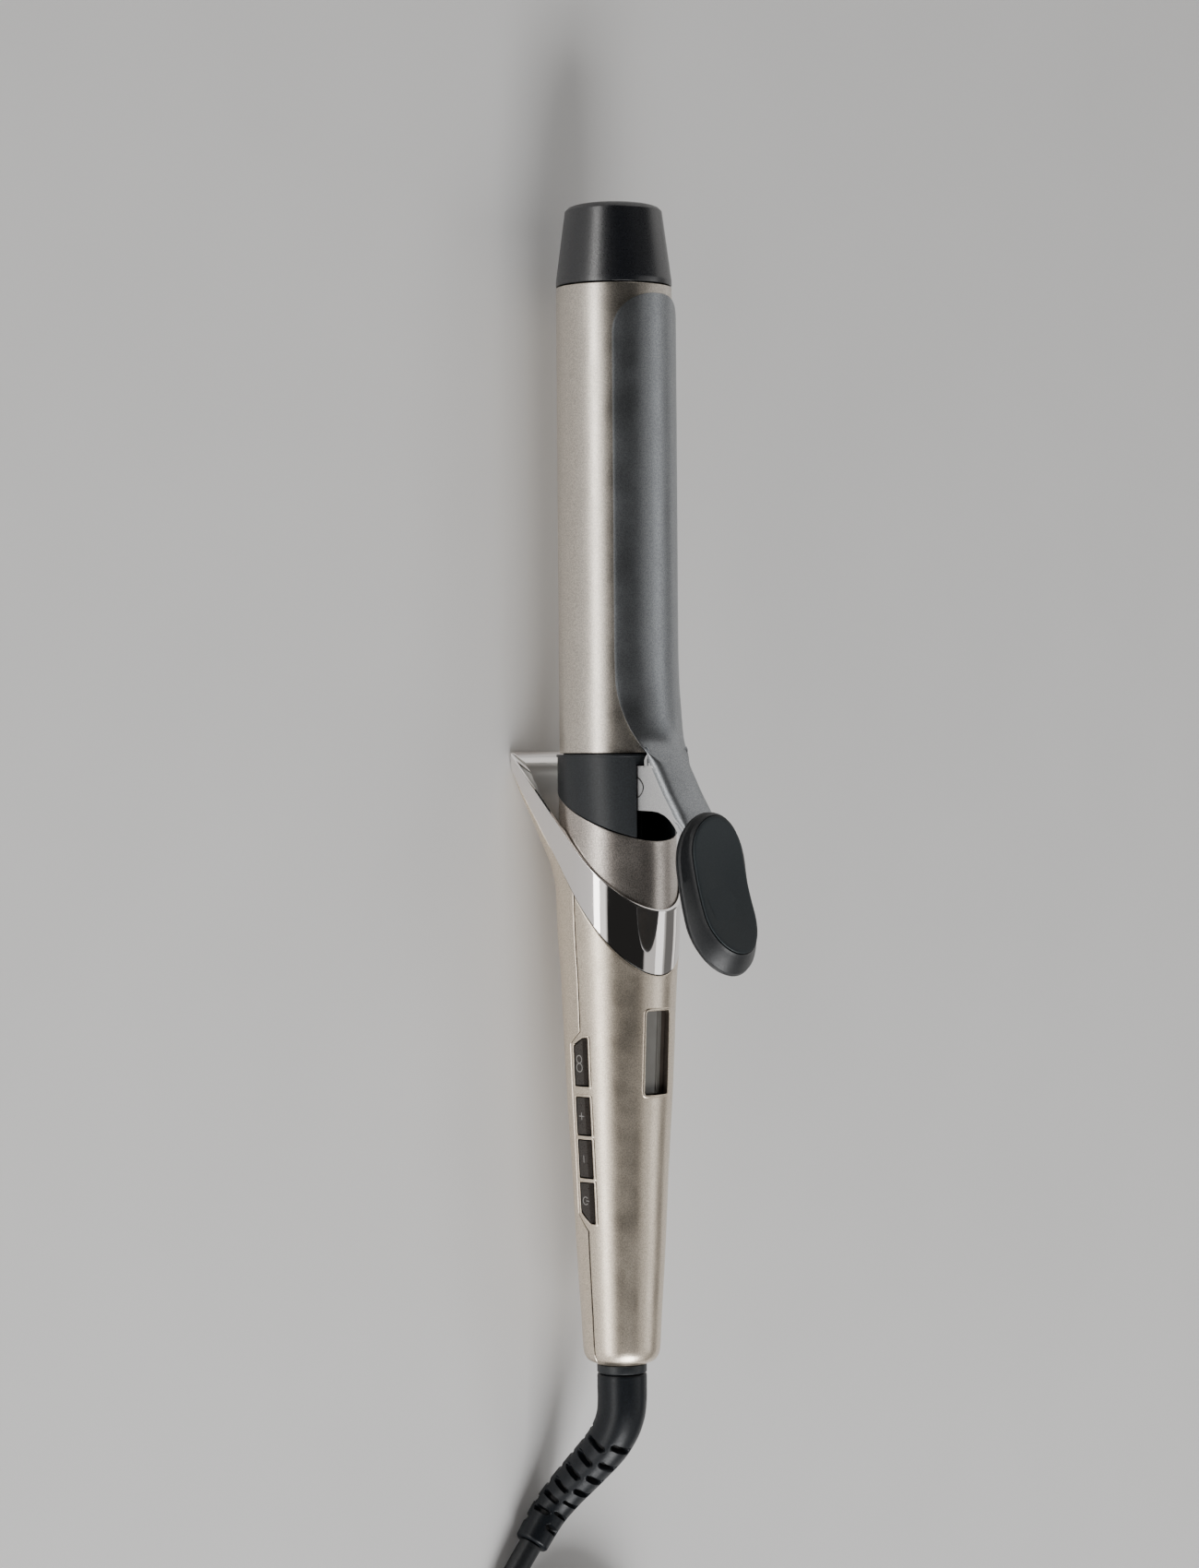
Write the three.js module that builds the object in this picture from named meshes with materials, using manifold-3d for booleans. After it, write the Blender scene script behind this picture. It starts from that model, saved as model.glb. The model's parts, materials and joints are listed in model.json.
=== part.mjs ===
// A clip curling iron, 32 mm barrel, lying on the flat foot of its heel. Millimetres, +Z up.
// +X runs along the iron from the cool tip to the cord, and the clip's lever is on top.
// Shapes are worked out from the iron's own axis (y = 0, z = 0) and its collar plane (x = 0),
// and the group then stands them on the surface, centred along the iron.
import * as THREE from 'three';
import { mergeVertices } from 'three/addons/utils/BufferGeometryUtils.js';
import Module from 'manifold-3d';

const wasm = await Module();
wasm.setup();

// Driving dimensions
const GAP = 0.3;
const AXIS_HEIGHT = 25.4;
const TIP_X = -152;
const BARREL_X = -129.3;
const HANDLE_END_X = 168.4;
const BARREL_R = 16;
const BARREL_BORE_R = 15.2;
const CLIP_R = 17.1;
const CLIP_SHEET = 0.8;
const CLIP_TIP_X = -126;
const PIVOT_X = 9;
const PIVOT_Z = 9;
const PIN_R = 1.5;
const SEAT_R = 16.6;
const SEAT_NECK_R = 14.6;
const SEAT_END_X = 46;
const SLOT_HALF = 7.5;
const SLOT_FLOOR = 1.85;
const RING_R = 16.5;
const RING_WALL = 1.1;
const RING_END_X = 46;
const SHELL_WALL = 1.8;
const WIRE_Z = -5.5;
const BUTTON_WIDTH = 5;
const BUTTON_TRAVEL = 0.6;
const BOARD_Y = -3.6;
const CORD_R = 3.25;
const HANK_X = 264.3;
const HANK_Y = -4;
const HANK_RUN = 131.6;
const HANK_LIFT = 1.3;
const HANK_LAYERS = 2;
const SURFACE_Z = -AXIS_HEIGHT;

// Slanted planes x = at + slope * z that part the collar's layers
const RING_PLANE = { at: 16.2, slope: 0.4626 };
const RIM_PLANE = { at: 25.2, slope: 1.03 };
const SHELL_PLANE = { at: 38.5, slope: 1.38 };

// The handle's outline: x, half-width, depth of the heel side, corner radius
const HANDLE_STATIONS = [
  [-1, 17.6, 25.4, 1.8],
  [4, 17.6, 25.4, 1.8],
  [5.6, 17.6, 24.8, 2.6],
  [10.7, 17.6, 23.2, 4.4],
  [15.8, 17.6, 21.6, 7.2],
  [21, 17.6, 20, 9.8],
  [26, 17.5, 18.7, 12.5],
  [31, 17.5, 17.8, 15.5],
  [37, 17.4, 17, 16.8],
  [43, 17.3, 16.7, 16.7],
  [48, 17.1, 16.6, 16.6],
  [53, 16.8, 16.4, 16.4],
  [61.5, 16.1, 16.1, 16.1],
  [91, 14.8, 14.8, 14.8],
  [115, 13.4, 13.4, 13.4],
  [139, 12.2, 12.2, 12.2],
  [155, 11.2, 11.2, 11.2],
  [164.9, 10.6, 10.6, 10.6],
  [167.2, 9.6, 9.6, 9.6],
  [HANDLE_END_X, 7.4, 7.4, 7.4],
];

// Ridge of the clip and its lever: x, height, half-width, radius of the arch
const CLIP_STATIONS = [
  [CLIP_TIP_X, CLIP_R, 2.5, CLIP_R],
  [CLIP_TIP_X + 1.5, CLIP_R, 6.8, CLIP_R],
  [CLIP_TIP_X + 4, CLIP_R, 9.8, CLIP_R],
  [CLIP_TIP_X + 8, CLIP_R, 11.9, CLIP_R],
  [CLIP_TIP_X + 12, CLIP_R, 12.5, CLIP_R],
  [-60, CLIP_R, 12.5, CLIP_R],
  [-30, CLIP_R, 12.5, CLIP_R],
  [-20, 17.5, 12.5, CLIP_R],
  [-14, 18, 12, CLIP_R],
  [-8, 18.6, 10.8, 17],
  [-4, 19.5, 9.8, 17],
  [0.5, 22, 9.1, 17],
  [5.6, 25, 8.9, 17],
  [10.7, 28.1, 8.8, 17],
  [15.8, 31.6, 8.6, 17],
  [20, 33.8, 8, 18],
  [25, 35.3, 7, 20],
  [36, 38.1, 6, 40],
  [44, 40.6, 5, 60],
];

// Buttons: x of the two ends
const BUTTONS = [
  ['button_mode', 77.8, 90.8],
  ['button_plus', 94.1, 104.4],
  ['button_minus', 105.9, 116.2],
  ['button_power', 117.7, 128.7],
];

// Boot: x, y, z of its centre line and its radius
const BOOT_LINE = [
  [171.4, 0, 0, 6.9],
  [175, 0, 0, 6.9],
  [178.4, 0, 0, 6.85],
  [182.2, -0.15, -0.3, 6.75],
  [186, -0.65, -1.3, 6.6],
  [189.5, -1.4, -3, 6.45],
  [192.7, -2.2, -5.2, 6.3],
  [198.6, -4, -10.4, 6],
  [204.5, -5.9, -15.7, 5.6],
  [207.5, -7.2, -17.9, 5.4],
  [211, -9.3, -19.7, 5.2],
  [215, -12.3, -20.35, 4.95],
  [219.3, -15.7, -20.6, 4.75],
];

// Cord from the boot to the hank, and from the hank to the plug
const LEAD_ROUTE = [
  [219.6, -15.9, -20.6],
  [226.5, -21.2, -21.4],
  [233.5, -25.7, -22.1],
  [241, -28.9, -22.15],
  [243.5, -29.5, -22.15],
];
const TAIL_ROUTE = [
  [288, -16.5, -7.4],
  [298, -12, -7.4],
  [309, -7.6, -7.4],
  [320, -4.8, -7.4],
  [330, -4, -7.4],
  [340, -4, -7.4],
];

const COLOURS = {
  barrelSilver: ['#b3aba2', 0.35, 0.9],
  clipSilver: ['#8f9496', 0.35, 0.9],
  ringSilver: ['#aca39b', 0.4, 0.9],
  chrome: ['#d8d2cf', 0.08, 1],
  champagne: ['#c5b49f', 0.4, 0.7],
  black: ['#15181b', 0.6, 0],
  padGrey: ['#2a343b', 0.75, 0],
  lens: ['#8a8680', 0.2, 0],
  button: ['#35302d', 0.25, 0],
  aluminium: ['#a9acae', 0.4, 1],
  steel: ['#9da0a3', 0.3, 1],
  brass: ['#b8944f', 0.3, 1],
  ceramic: ['#e6e2d8', 0.6, 0],
  board: ['#1f6b3a', 0.5, 0],
  wireRed: ['#7c2620', 0.5, 0],
  wireWhite: ['#d9d6cf', 0.5, 0],
};

// Solids

// The geometry as a closed solid: shared corners merged, slivers dropped and faces turned outwards.
function solid(geometry) {
  const bare = geometry.clone();
  bare.deleteAttribute('normal');
  bare.deleteAttribute('uv');
  const merged = mergeVertices(bare, 1e-4);
  const place = merged.attributes.position;
  const corner = (i) => new THREE.Vector3().fromBufferAttribute(place, i);
  const kept = [];
  let volume = 0;
  for (let i = 0; i < merged.index.count; i += 3) {
    const [a, b, c] = [0, 1, 2].map((k) => merged.index.getX(i + k));
    if (a === b || b === c || c === a) continue;
    kept.push([a, b, c]);
    volume += corner(a).dot(corner(b).cross(corner(c)));
  }
  const turned = volume < 0 ? kept.map(([a, b, c]) => [a, c, b]) : kept;
  return new wasm.Manifold(
    new wasm.Mesh({
      numProp: 3,
      vertProperties: new Float32Array(place.array),
      triVerts: new Uint32Array(turned.flat()),
    }),
  );
}

function geometryOf(body) {
  const { vertProperties, triVerts, numProp } = body.getMesh();
  const places = [];
  for (let i = 0; i < vertProperties.length; i += numProp) {
    places.push(vertProperties[i], vertProperties[i + 1], vertProperties[i + 2]);
  }
  const geometry = new THREE.BufferGeometry();
  geometry.setAttribute('position', new THREE.Float32BufferAttribute(places, 3));
  geometry.setIndex([...triVerts]);
  return geometry.toNonIndexed();
}

const iron = new THREE.Group();

function add(name, body, colour) {
  const [color, roughness, metalness] = COLOURS[colour];
  const material = new THREE.MeshStandardMaterial({ color, roughness, metalness });
  const mesh = new THREE.Mesh(geometryOf(body), material);
  mesh.name = name;
  iron.add(mesh);
}

const join = (first, ...others) => others.reduce((whole, piece) => whole.add(piece), first);
const cut = (first, ...others) => others.reduce((whole, piece) => whole.subtract(piece), first);

// A body turned about the iron's axis from [x, r] points.
function turned(profile, segments = 40) {
  const points = profile.map(([x, r]) => new THREE.Vector2(r, x));
  return solid(new THREE.LatheGeometry(points, segments).rotateZ(-Math.PI / 2));
}

const disc = (x0, x1, r, segments) => turned([[x0, 0], [x0, r], [x1, r], [x1, 0]], segments);

function sleeve(x0, x1, outer, inner, segments) {
  return turned([[x0, inner], [x0, outer], [x1, outer], [x1, inner], [x0, inner]], segments);
}

function block([x0, y0, z0], [x1, y1, z1]) {
  const box = new THREE.BoxGeometry(x1 - x0, y1 - y0, z1 - z0);
  return solid(box.translate((x0 + x1) / 2, (y0 + y1) / 2, (z0 + z1) / 2));
}

// A round bar between two points.
function bar(from, to, r, sides = 16) {
  const [a, b] = [new THREE.Vector3(...from), new THREE.Vector3(...to)];
  const along = b.clone().sub(a);
  const round = new THREE.CylinderGeometry(r, r, along.length(), sides);
  const turn = new THREE.Quaternion();
  turn.setFromUnitVectors(new THREE.Vector3(0, 1, 0), along.clone().normalize());
  round.applyQuaternion(turn);
  return solid(round.translate(...a.add(b).multiplyScalar(0.5).toArray()));
}

// An outline in (x, z) carried across y from one value to another.
function prism(outline, y0, y1) {
  const shape = new THREE.Shape(outline.map(([x, z]) => new THREE.Vector2(x, z)));
  const made = new THREE.ExtrudeGeometry(shape, { depth: y1 - y0, bevelEnabled: false });
  return solid(made.rotateX(Math.PI / 2).translate(0, y1, 0));
}

// Everything on the tip side, or with side = 1 on the cord side, of a slanted plane.
function half(plane, side = 1, shift = 0) {
  const reach = 60;
  const far = side * 400;
  const low = plane.at + shift - plane.slope * reach;
  const high = plane.at + shift + plane.slope * reach;
  return prism([[low, -reach], [high, reach], [far, reach], [far, -reach]], -reach, reach);
}

// Rings of points skinned into one closed body; an end is filled straight across its ring.
function loft(rings) {
  const count = rings[0].length;
  const places = rings.flat(2);
  const faces = [];
  for (let s = 0; s + 1 < rings.length; s += 1) {
    for (let i = 0; i < count; i += 1) {
      const next = (i + 1) % count;
      const [a, b] = [s * count + i, s * count + next];
      faces.push(a, b, b + count, a, b + count, a + count);
    }
  }
  const last = (rings.length - 1) * count;
  for (let i = 0; i + 1 < count / 2; i += 1) {
    const [a, b, c, d] = [i, i + 1, count - 2 - i, count - 1 - i];
    faces.push(a, d, c, last + a, last + c, last + d);
    if (b !== c) faces.push(a, c, b, last + a, last + b, last + c);
  }
  const geometry = new THREE.BufferGeometry();
  geometry.setAttribute('position', new THREE.Float32BufferAttribute(places, 3));
  geometry.setIndex(faces);
  return solid(geometry);
}

// A round cord or wire through points, with a step about every so many millimetres.
function strand(points, r, step, sides = 10) {
  const route = new THREE.CatmullRomCurve3(points.map((p) => new THREE.Vector3(...p)));
  const circle = [];
  for (let i = 0; i < sides; i += 1) {
    const a = (2 * Math.PI * i) / sides;
    circle.push(new THREE.Vector2(r * Math.cos(a), r * Math.sin(a)));
  }
  const steps = Math.max(3, Math.round(route.getLength() / step));
  const options = { steps, extrudePath: route, bevelEnabled: false };
  return solid(new THREE.ExtrudeGeometry(new THREE.Shape(circle), options));
}

// Values of a station table at x, joined by straight lines.
function station(table, x) {
  const after = Math.max(1, table.findIndex(([at]) => at >= x));
  const [low, high] = [table[after - 1], table[after]];
  const part = (x - low[0]) / (high[0] - low[0]);
  return low.map((value, k) => value + part * (high[k] - value));
}

// One section of the handle: a round front, straight sides and a heel with two rounded corners.
function handleRing(x, inset) {
  const [, halfWidth, heel, corner] = station(HANDLE_STATIONS, x);
  const w = halfWidth - inset;
  const depth = heel - inset;
  const r = Math.max(0.4, Math.min(corner - inset, w, depth));
  const ring = [];
  const arc = (cy, cz, radius, from, to, parts) => {
    for (let i = 0; i <= parts; i += 1) {
      const a = THREE.MathUtils.degToRad(from + ((to - from) * i) / parts);
      ring.push([x, cy + radius * Math.cos(a), cz + radius * Math.sin(a)]);
    }
  };
  arc(0, 0, w, 0, 180, 18);
  arc(r - w, r - depth, r, 181, 270, 6);
  arc(w - r, r - depth, r, 270.5, 359, 6);
  return ring;
}

function handleBody(x0, x1, inset) {
  const between = HANDLE_STATIONS.map(([x]) => x).filter((x) => x > x0 + 0.2 && x < x1 - 0.2);
  const insetAt = typeof inset === 'function' ? inset : () => inset;
  return loft([x0, ...between, x1].map((x) => handleRing(x, insetAt(x))));
}

// Barrel, tip and heater

function barrel() {
  const tube = sleeve(BARREL_X + GAP, -GAP, BARREL_R, BARREL_BORE_R, 48);
  const screwHole = bar([-5, 0, -20], [-5, 0, 20], 2.2);
  add('barrel', cut(tube, screwHole), 'barrelSilver');
}

function coolTip() {
  const profile = [
    [-122, 0], [-122, 14.8], [BARREL_X, 14.8], [BARREL_X, BARREL_R], [-130.5, BARREL_R],
    [-148.6, 13.5], [-150.2, 12.9], [-151.1, 10], [-151.7, 6], [TIP_X, 0],
  ];
  const hollow = disc(-145, -120, 11, 24);
  add('cool_tip', cut(turned(profile, 48), hollow), 'black');
}

function heater() {
  const [from, to] = [-108, -44];
  add('ptc_heater', block([from + 4, -6, -1.2], [to - 2, 6, 1.2]), 'ceramic');
  const profile = cut(disc(from, to, 14.7, 32), disc(from - 1, to + 1, 12.4, 32));
  const web = block([from, -2, 2], [to, 2, 13]);
  const base = block([from, -12.6, 1.6], [to, 12.6, 4]);
  const upperSide = block([from - 1, -20, 1.6], [to + 1, 20, 20]);
  const upper = join(profile.intersect(upperSide), web, base);
  add('heater_block_upper', upper, 'aluminium');
  add('heater_block_lower', upper.rotate([180, 0, 0]), 'aluminium');
  add('temperature_sensor', disc(-41, -34, 1.3, 12), 'ceramic');
  add('thermal_fuse', bar([-30, 5, -5.5], [-20, 5, -5.5], 1.9, 12), 'steel');
}

function heaterLeads() {
  const past = SEAT_END_X + 11;
  const leads = [
    ['heater_lead_live', [-43, 3.6, 0], 2, 'wireRed'],
    ['heater_lead_neutral', [-43, -3.6, 0], -2, 'wireWhite'],
    ['sensor_lead', [-33.6, 0, 0], 0, 'wireWhite'],
  ];
  for (const [name, start, side, colour] of leads) {
    const level = side === 0 ? WIRE_Z - 2 : WIRE_Z;
    const mid = [-24, side * 0.8, level];
    const route = [start, mid, [0, side, level], [SEAT_END_X, side, level], [past, side, level]];
    add(name, strand(route, 0.7, 6, 8), colour);
  }
}

// Collar: seat, ring, heel band

function pinHole(r) {
  return bar([PIVOT_X, -12.2, PIVOT_Z], [PIVOT_X, 12.2, PIVOT_Z], r, 20);
}

function barrelSeat() {
  const spigot = disc(-10, 0.5, 14.9, 40);
  const lip = disc(0, 0.7, 16.9, 48);
  const body = disc(0, SEAT_END_X, SEAT_R, 48);
  const ringRoom = sleeve(-5, 60, 20, SEAT_NECK_R, 40).intersect(half(RING_PLANE, 1, -0.4));
  const slot = block([2.8, -SLOT_HALF, SLOT_FLOOR], [40, SLOT_HALF, 20]);
  const wireBore = bar([-11, 0, WIRE_Z], [60, 0, WIRE_Z], 4.4, 20);
  const screwHole = bar([-5, 0, 16], [-5, 0, 9], 1.4);
  const lowerHole = bar([-5, 0, -16], [-5, 0, -11], 1.4);
  const seat = cut(join(body, spigot, lip), ringRoom, slot, wireBore, screwHole, lowerHole);
  add('barrel_seat', cut(seat, pinHole(PIN_R + GAP)), 'black');
}

function pivot() {
  const pin = bar([PIVOT_X, -11.9, PIVOT_Z], [PIVOT_X, 11.9, PIVOT_Z], PIN_R, 20);
  add('clip_pivot_pin', pin, 'steel');
  const coil = [];
  const turns = 4;
  const perTurn = 10;
  for (let i = 0; i <= turns * perTurn; i += 1) {
    const a = (2 * Math.PI * i) / perTurn;
    const y = -4 + (8 * i) / (turns * perTurn);
    coil.push([PIVOT_X + 3.1 * Math.cos(a), y, PIVOT_Z + 3.1 * Math.sin(a)]);
  }
  const legs = [[PIVOT_X + 3.1, -4, PIVOT_Z - 4], ...coil, [PIVOT_X + 3.1, 4, PIVOT_Z + 4]];
  add('clip_spring', strand(legs, 0.5, 2.1, 8), 'steel');
}

function barrelScrews() {
  for (const [name, side] of [['barrel_screw_upper', 1], ['barrel_screw_lower', -1]]) {
    const head = bar([-5, 0, 15.3 * side], [-5, 0, 15.9 * side], 1.9);
    const shank = bar([-5, 0, 11.6 * side], [-5, 0, 15.4 * side], 1.1, 12);
    add(name, join(head, shank), 'steel');
  }
}

function innerRing() {
  const tube = sleeve(0, 60, RING_R, RING_R - RING_WALL, 56);
  const kept = tube.intersect(half(RING_PLANE)).intersect(half(RIM_PLANE, -1, 3));
  add('inner_ring', kept, 'ringSilver');
}

function heelBand() {
  const wallAt = (x) => 1.6 + 1.8 * THREE.MathUtils.smoothstep(x, 0, 8);
  const [floorTop, floorUnder] = [20, 23];
  const outer = handleBody(-0.5, 70, 0).intersect(half(SHELL_PLANE, -1, -0.4));
  const liner = handleBody(-0.5, floorUnder, SHELL_WALL + 2 * GAP);
  const whole = join(outer, liner).intersect(half(RIM_PLANE));
  const pocket = handleBody(-0.9, floorTop, wallAt);
  const ringRoom = disc(-5, RING_END_X, RING_R + GAP, 56);
  const frontRoom = handleBody(RING_END_X - 1, 75, SHELL_WALL);
  const footEnd = block([-2, -30, -30], [0.3, 30, 0]);
  add('heel_band', cut(whole, pocket, ringRoom, frontRoom, footEnd), 'chrome');
}

// Handle shells

function displayOpening(grow) {
  const window = block([-11.7 - grow, -4.6 - grow, -6], [11.7 + grow, 4.6 + grow, 6]);
  return window.rotate([0, 3.2, 0]).translate([81.9, 0, 13.6]);
}

function buttonOpening(x0, x1, grow) {
  const halfWidth = BUTTON_WIDTH / 2 + grow;
  return block([x0 - grow, -20, -halfWidth], [x1 + grow, -8.6, halfWidth]);
}

function seamJog(grow) {
  return block([78 - grow, -20, -4.4 - grow], [129 + grow, -5, 0.2 + grow]);
}

function boss(x, y, z0, z1) {
  return bar([x, y, z0], [x, y, z1], 2.9, 16);
}

const SHELL_SCREWS = [[68, 8, 13.6], [133, 0, 12.5]];

function shells() {
  const outside = handleBody(-0.5, HANDLE_END_X, 0);
  const room = handleBody(-0.9, HANDLE_END_X - 2, SHELL_WALL);
  const cordHole = disc(160, 175, 5.3, 24);
  const band = half(SHELL_PLANE, -1, 0);
  const skin = cut(outside, room, cordHole, band);
  const upperSide = join(block([-5, -40, GAP / 2], [180, 40, 40]), seamJog(0));
  const lowerSide = cut(block([-5, -40, -40], [180, 40, -GAP / 2]), seamJog(GAP));
  const openings = [displayOpening(GAP)];
  for (const [, x0, x1] of BUTTONS) {
    openings.push(buttonOpening(x0, x1, GAP));
  }
  let upper = skin.intersect(upperSide);
  let lower = skin.intersect(lowerSide);
  const inside = handleBody(-0.4, HANDLE_END_X - 1, 0.9);
  for (const [x, y, r] of SHELL_SCREWS) {
    const bosses = [boss(x, y, GAP / 2, 20), boss(x, y, -20, -GAP / 2)];
    upper = upper.add(bosses[0].intersect(inside));
    lower = lower.add(bosses[1].intersect(inside));
    const hole = bar([x, y, -30], [x, y, 8.4], 1.5, 12);
    const headRoom = bar([x, y, -30], [x, y, 3.2 - r], 2.5, 16);
    upper = upper.subtract(hole);
    lower = cut(lower, hole, headRoom);
  }
  add('handle_upper_shell', cut(upper, ...openings), 'champagne');
  add('handle_lower_shell', lower, 'champagne');
}

function shellScrews() {
  SHELL_SCREWS.forEach(([x, y, r], i) => {
    const head = bar([x, y, 1.2 - r], [x, y, 2.9 - r], 2.2);
    const shank = bar([x, y, 2.8 - r], [x, y, 8], 1.2, 12);
    add(`shell_screw_${i + 1}`, join(head, shank), 'steel');
  });
}

// Display, board and buttons

function display() {
  const tilt = (piece) => piece.rotate([0, 3.2, 0]).translate([81.9, 0, 13.6]);
  add('display_lens', tilt(block([-11.5, -4.4, -1.2], [11.5, 4.4, 0.3])), 'lens');
  add('lcd_module', tilt(block([-10.5, -4.2, -4.2], [10.5, 4.2, -1.6])), 'ceramic');
}

function electronics() {
  const [front, back] = [BOARD_Y, BOARD_Y + 1.6];
  add('circuit_board', block([58, front, -8.2], [129, back, 8]), 'board');
  add('power_triac', block([61, back + GAP, -4], [71, back + 5, 4]), 'black');
  add('dropper_capacitor', block([76, back + GAP, -6.5], [90, back + 7, 3.5]), 'wireRed');
  BUTTONS.forEach(([, x0, x1], i) => {
    const x = (x0 + x1) / 2;
    const base = block([x - 2.2, front - 3.2, -2.2], [x + 2.2, front - GAP, 2.2]);
    const stem = bar([x, front - 3.8, 0], [x, front - 3, 0], 1, 12);
    add(`tact_switch_${i + 1}`, join(base, stem), 'black');
  });
}

function button(name, x0, x1) {
  const [, r0] = station(HANDLE_STATIONS, x0);
  const [, r1] = station(HANDLE_STATIONS, x1);
  const halfWidth = BUTTON_WIDTH / 2;
  const slab = block([x0, -20, -halfWidth], [x1, -r1 + 3, halfWidth]);
  const face = handleBody(x0 - 3, x1 + 3, -0.25);
  const inner = r1 - SHELL_WALL - 0.5;
  const flangeRoom = handleBody(x0 - 3, x1 + 3, SHELL_WALL + 0.35);
  const flange = block([x0 + 0.6, -inner - 2, -3.4], [x1 - 0.6, -inner + 1.3, 3.4]);
  const x = (x0 + x1) / 2;
  const stem = bar([x, -r0 + 3.5, 0], [x, BOARD_Y - 3.8 - BUTTON_TRAVEL - 0.2, 0], 1.6, 12);
  const cap = join(slab.intersect(face), flange.intersect(flangeRoom), stem);
  add(name, cap, 'button');
}

// Cord entry: a hub that turns in the handle's end and carries the boot

function swivel() {
  add('contact_block', cut(disc(141, 150, 8, 24), disc(139, 147, 2, 12)), 'black');
  const hub = [
    [150.6, 0], [150.6, 3.6], [158, 3.6], [158, 7.6], [161, 7.6], [161, 4.9], [168.7, 4.9],
    [168.7, 6.9], [170.8, 6.9], [170.8, 0],
  ];
  add('swivel_collar', turned(hub, 32), 'black');
  add('slip_ring_live', sleeve(151.4, 153.8, 4.6, 3.9, 24), 'brass');
  add('slip_ring_neutral', sleeve(154.8, 157.2, 4.6, 3.9, 24), 'brass');
}

function boot() {
  const places = BOOT_LINE.map(([x, y, z]) => new THREE.Vector3(x, y, z));
  const sides = 16;
  const rings = places.map((centre, i) => {
    const before = places[Math.max(0, i - 1)];
    const after = places[Math.min(places.length - 1, i + 1)];
    const along = i === 0 ? new THREE.Vector3(1, 0, 0) : after.clone().sub(before).normalize();
    const across = new THREE.Vector3(0, 1, -1).cross(along).normalize();
    const up = along.clone().cross(across);
    const ring = [];
    for (let k = 0; k < sides; k += 1) {
      const a = (2 * Math.PI * k) / sides;
      const spot = centre.clone();
      spot.addScaledVector(across, BOOT_LINE[i][3] * Math.cos(a));
      spot.addScaledVector(up, BOOT_LINE[i][3] * Math.sin(a));
      ring.push(spot.toArray());
    }
    return ring;
  });
  add('cord_boot', loft(rings), 'black');
}

// Cord, hank and plug

function hankOutline(fold, waist, count) {
  const points = [];
  const side = (sign) => {
    for (let i = 1; i < count; i += 1) {
      const part = sign > 0 ? 1 - i / count : i / count;
      const spread = waist + (fold - waist) * (0.5 + 0.5 * Math.cos(2 * Math.PI * part));
      points.push([HANK_X + HANK_RUN * part, HANK_Y + sign * spread]);
    }
  };
  const end = (x, from) => {
    for (let i = 0; i <= 12; i += 1) {
      const a = from + (Math.PI * i) / 12;
      points.push([x + fold * Math.cos(a), HANK_Y + fold * Math.sin(a)]);
    }
  };
  end(HANK_X + HANK_RUN, -Math.PI / 2);
  side(1);
  end(HANK_X, Math.PI / 2);
  side(-1);
  return points.map(([x, y]) => new THREE.Vector2(x, y));
}

function flat(outline, z0, z1) {
  const made = new THREE.ExtrudeGeometry(new THREE.Shape(outline), {
    depth: z1 - z0,
    bevelEnabled: false,
  });
  return solid(made.translate(0, 0, z0));
}

function hank() {
  const bottom = SURFACE_Z + HANK_LIFT;
  const top = bottom + HANK_LAYERS * 2 * CORD_R;
  const whole = flat(hankOutline(29.25, 13, 16), bottom, top);
  const eye = (x) => disc(bottom - 1, top + 1, 15, 16).rotate([0, -90, 0]).translate([x, HANK_Y, 0]);
  add('cord_hank', cut(whole, eye(HANK_X + 2), eye(HANK_X + HANK_RUN - 2)), 'black');
}

function tie() {
  const middle = HANK_X + HANK_RUN / 2;
  const outline = (grow) => {
    const [low, high] = [SURFACE_Z + 1 - grow, SURFACE_Z + HANK_LIFT + 13 + grow];
    const [wide, top] = [13.8 + grow, SURFACE_Z + HANK_LIFT + 20.2 + grow];
    return [[-wide, low], [wide, low], [wide, high], [4.6, top], [-4.6, top], [-wide, high]];
  };
  const made = (grow, from, to) => {
    const shape = new THREE.Shape(outline(grow).map(([y, z]) => new THREE.Vector2(y, z)));
    const slab = new THREE.ExtrudeGeometry(shape, { depth: to - from, bevelEnabled: false });
    slab.rotateX(Math.PI / 2).rotateZ(Math.PI / 2);
    return solid(slab.translate(middle + from, HANK_Y, 0));
  };
  add('cord_tie', cut(made(1, -5, 5), made(0, -6, 6)), 'black');
}

function plug() {
  const bottom = SURFACE_Z + HANK_LIFT + 13 + GAP;
  const outline = [
    [340.4, -4.5], [349, -5.2], [356, -12.8], [368, -13], [374, -9], [374, 9], [368, 13],
    [356, 12.8], [349, 5.2], [340.4, 4.5],
  ].map(([x, y]) => new THREE.Vector2(x, y + HANK_Y));
  add('plug_body', flat(outline, bottom, bottom + 13), 'black');
  for (const [name, side] of [['plug_pin_live', -1], ['plug_pin_neutral', 1]]) {
    const y = HANK_Y + side * 8.8;
    const z = bottom + 6.5;
    add(name, bar([374.3, y, z], [393, y, z], 2, 12), 'brass');
  }
}

function cord() {
  add('cord_lead', strand(LEAD_ROUTE, CORD_R, 6), 'black');
  add('cord_tail', strand(TAIL_ROUTE, CORD_R, 12), 'black');
  hank();
  tie();
  plug();
}

// Clip: sheet and lever, pad

function clipRing([x, ridge, halfWidth, arch], grow, slope) {
  const thick = CLIP_SHEET / Math.cos(slope);
  const count = 12;
  const outside = [];
  const inside = [];
  const edge = Math.asin(Math.min(0.98, (halfWidth + grow) / arch));
  for (let i = 0; i <= count; i += 1) {
    const a = edge * (1 - (2 * i) / count);
    const [y, drop] = [arch * Math.sin(a), arch * (1 - Math.cos(a))];
    const inner = (arch - CLIP_SHEET) / arch;
    outside.push([x, y, ridge - drop + grow]);
    inside.push([x, y * inner, ridge - drop * inner - thick - grow]);
  }
  return [...outside, ...inside.reverse()];
}

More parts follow.
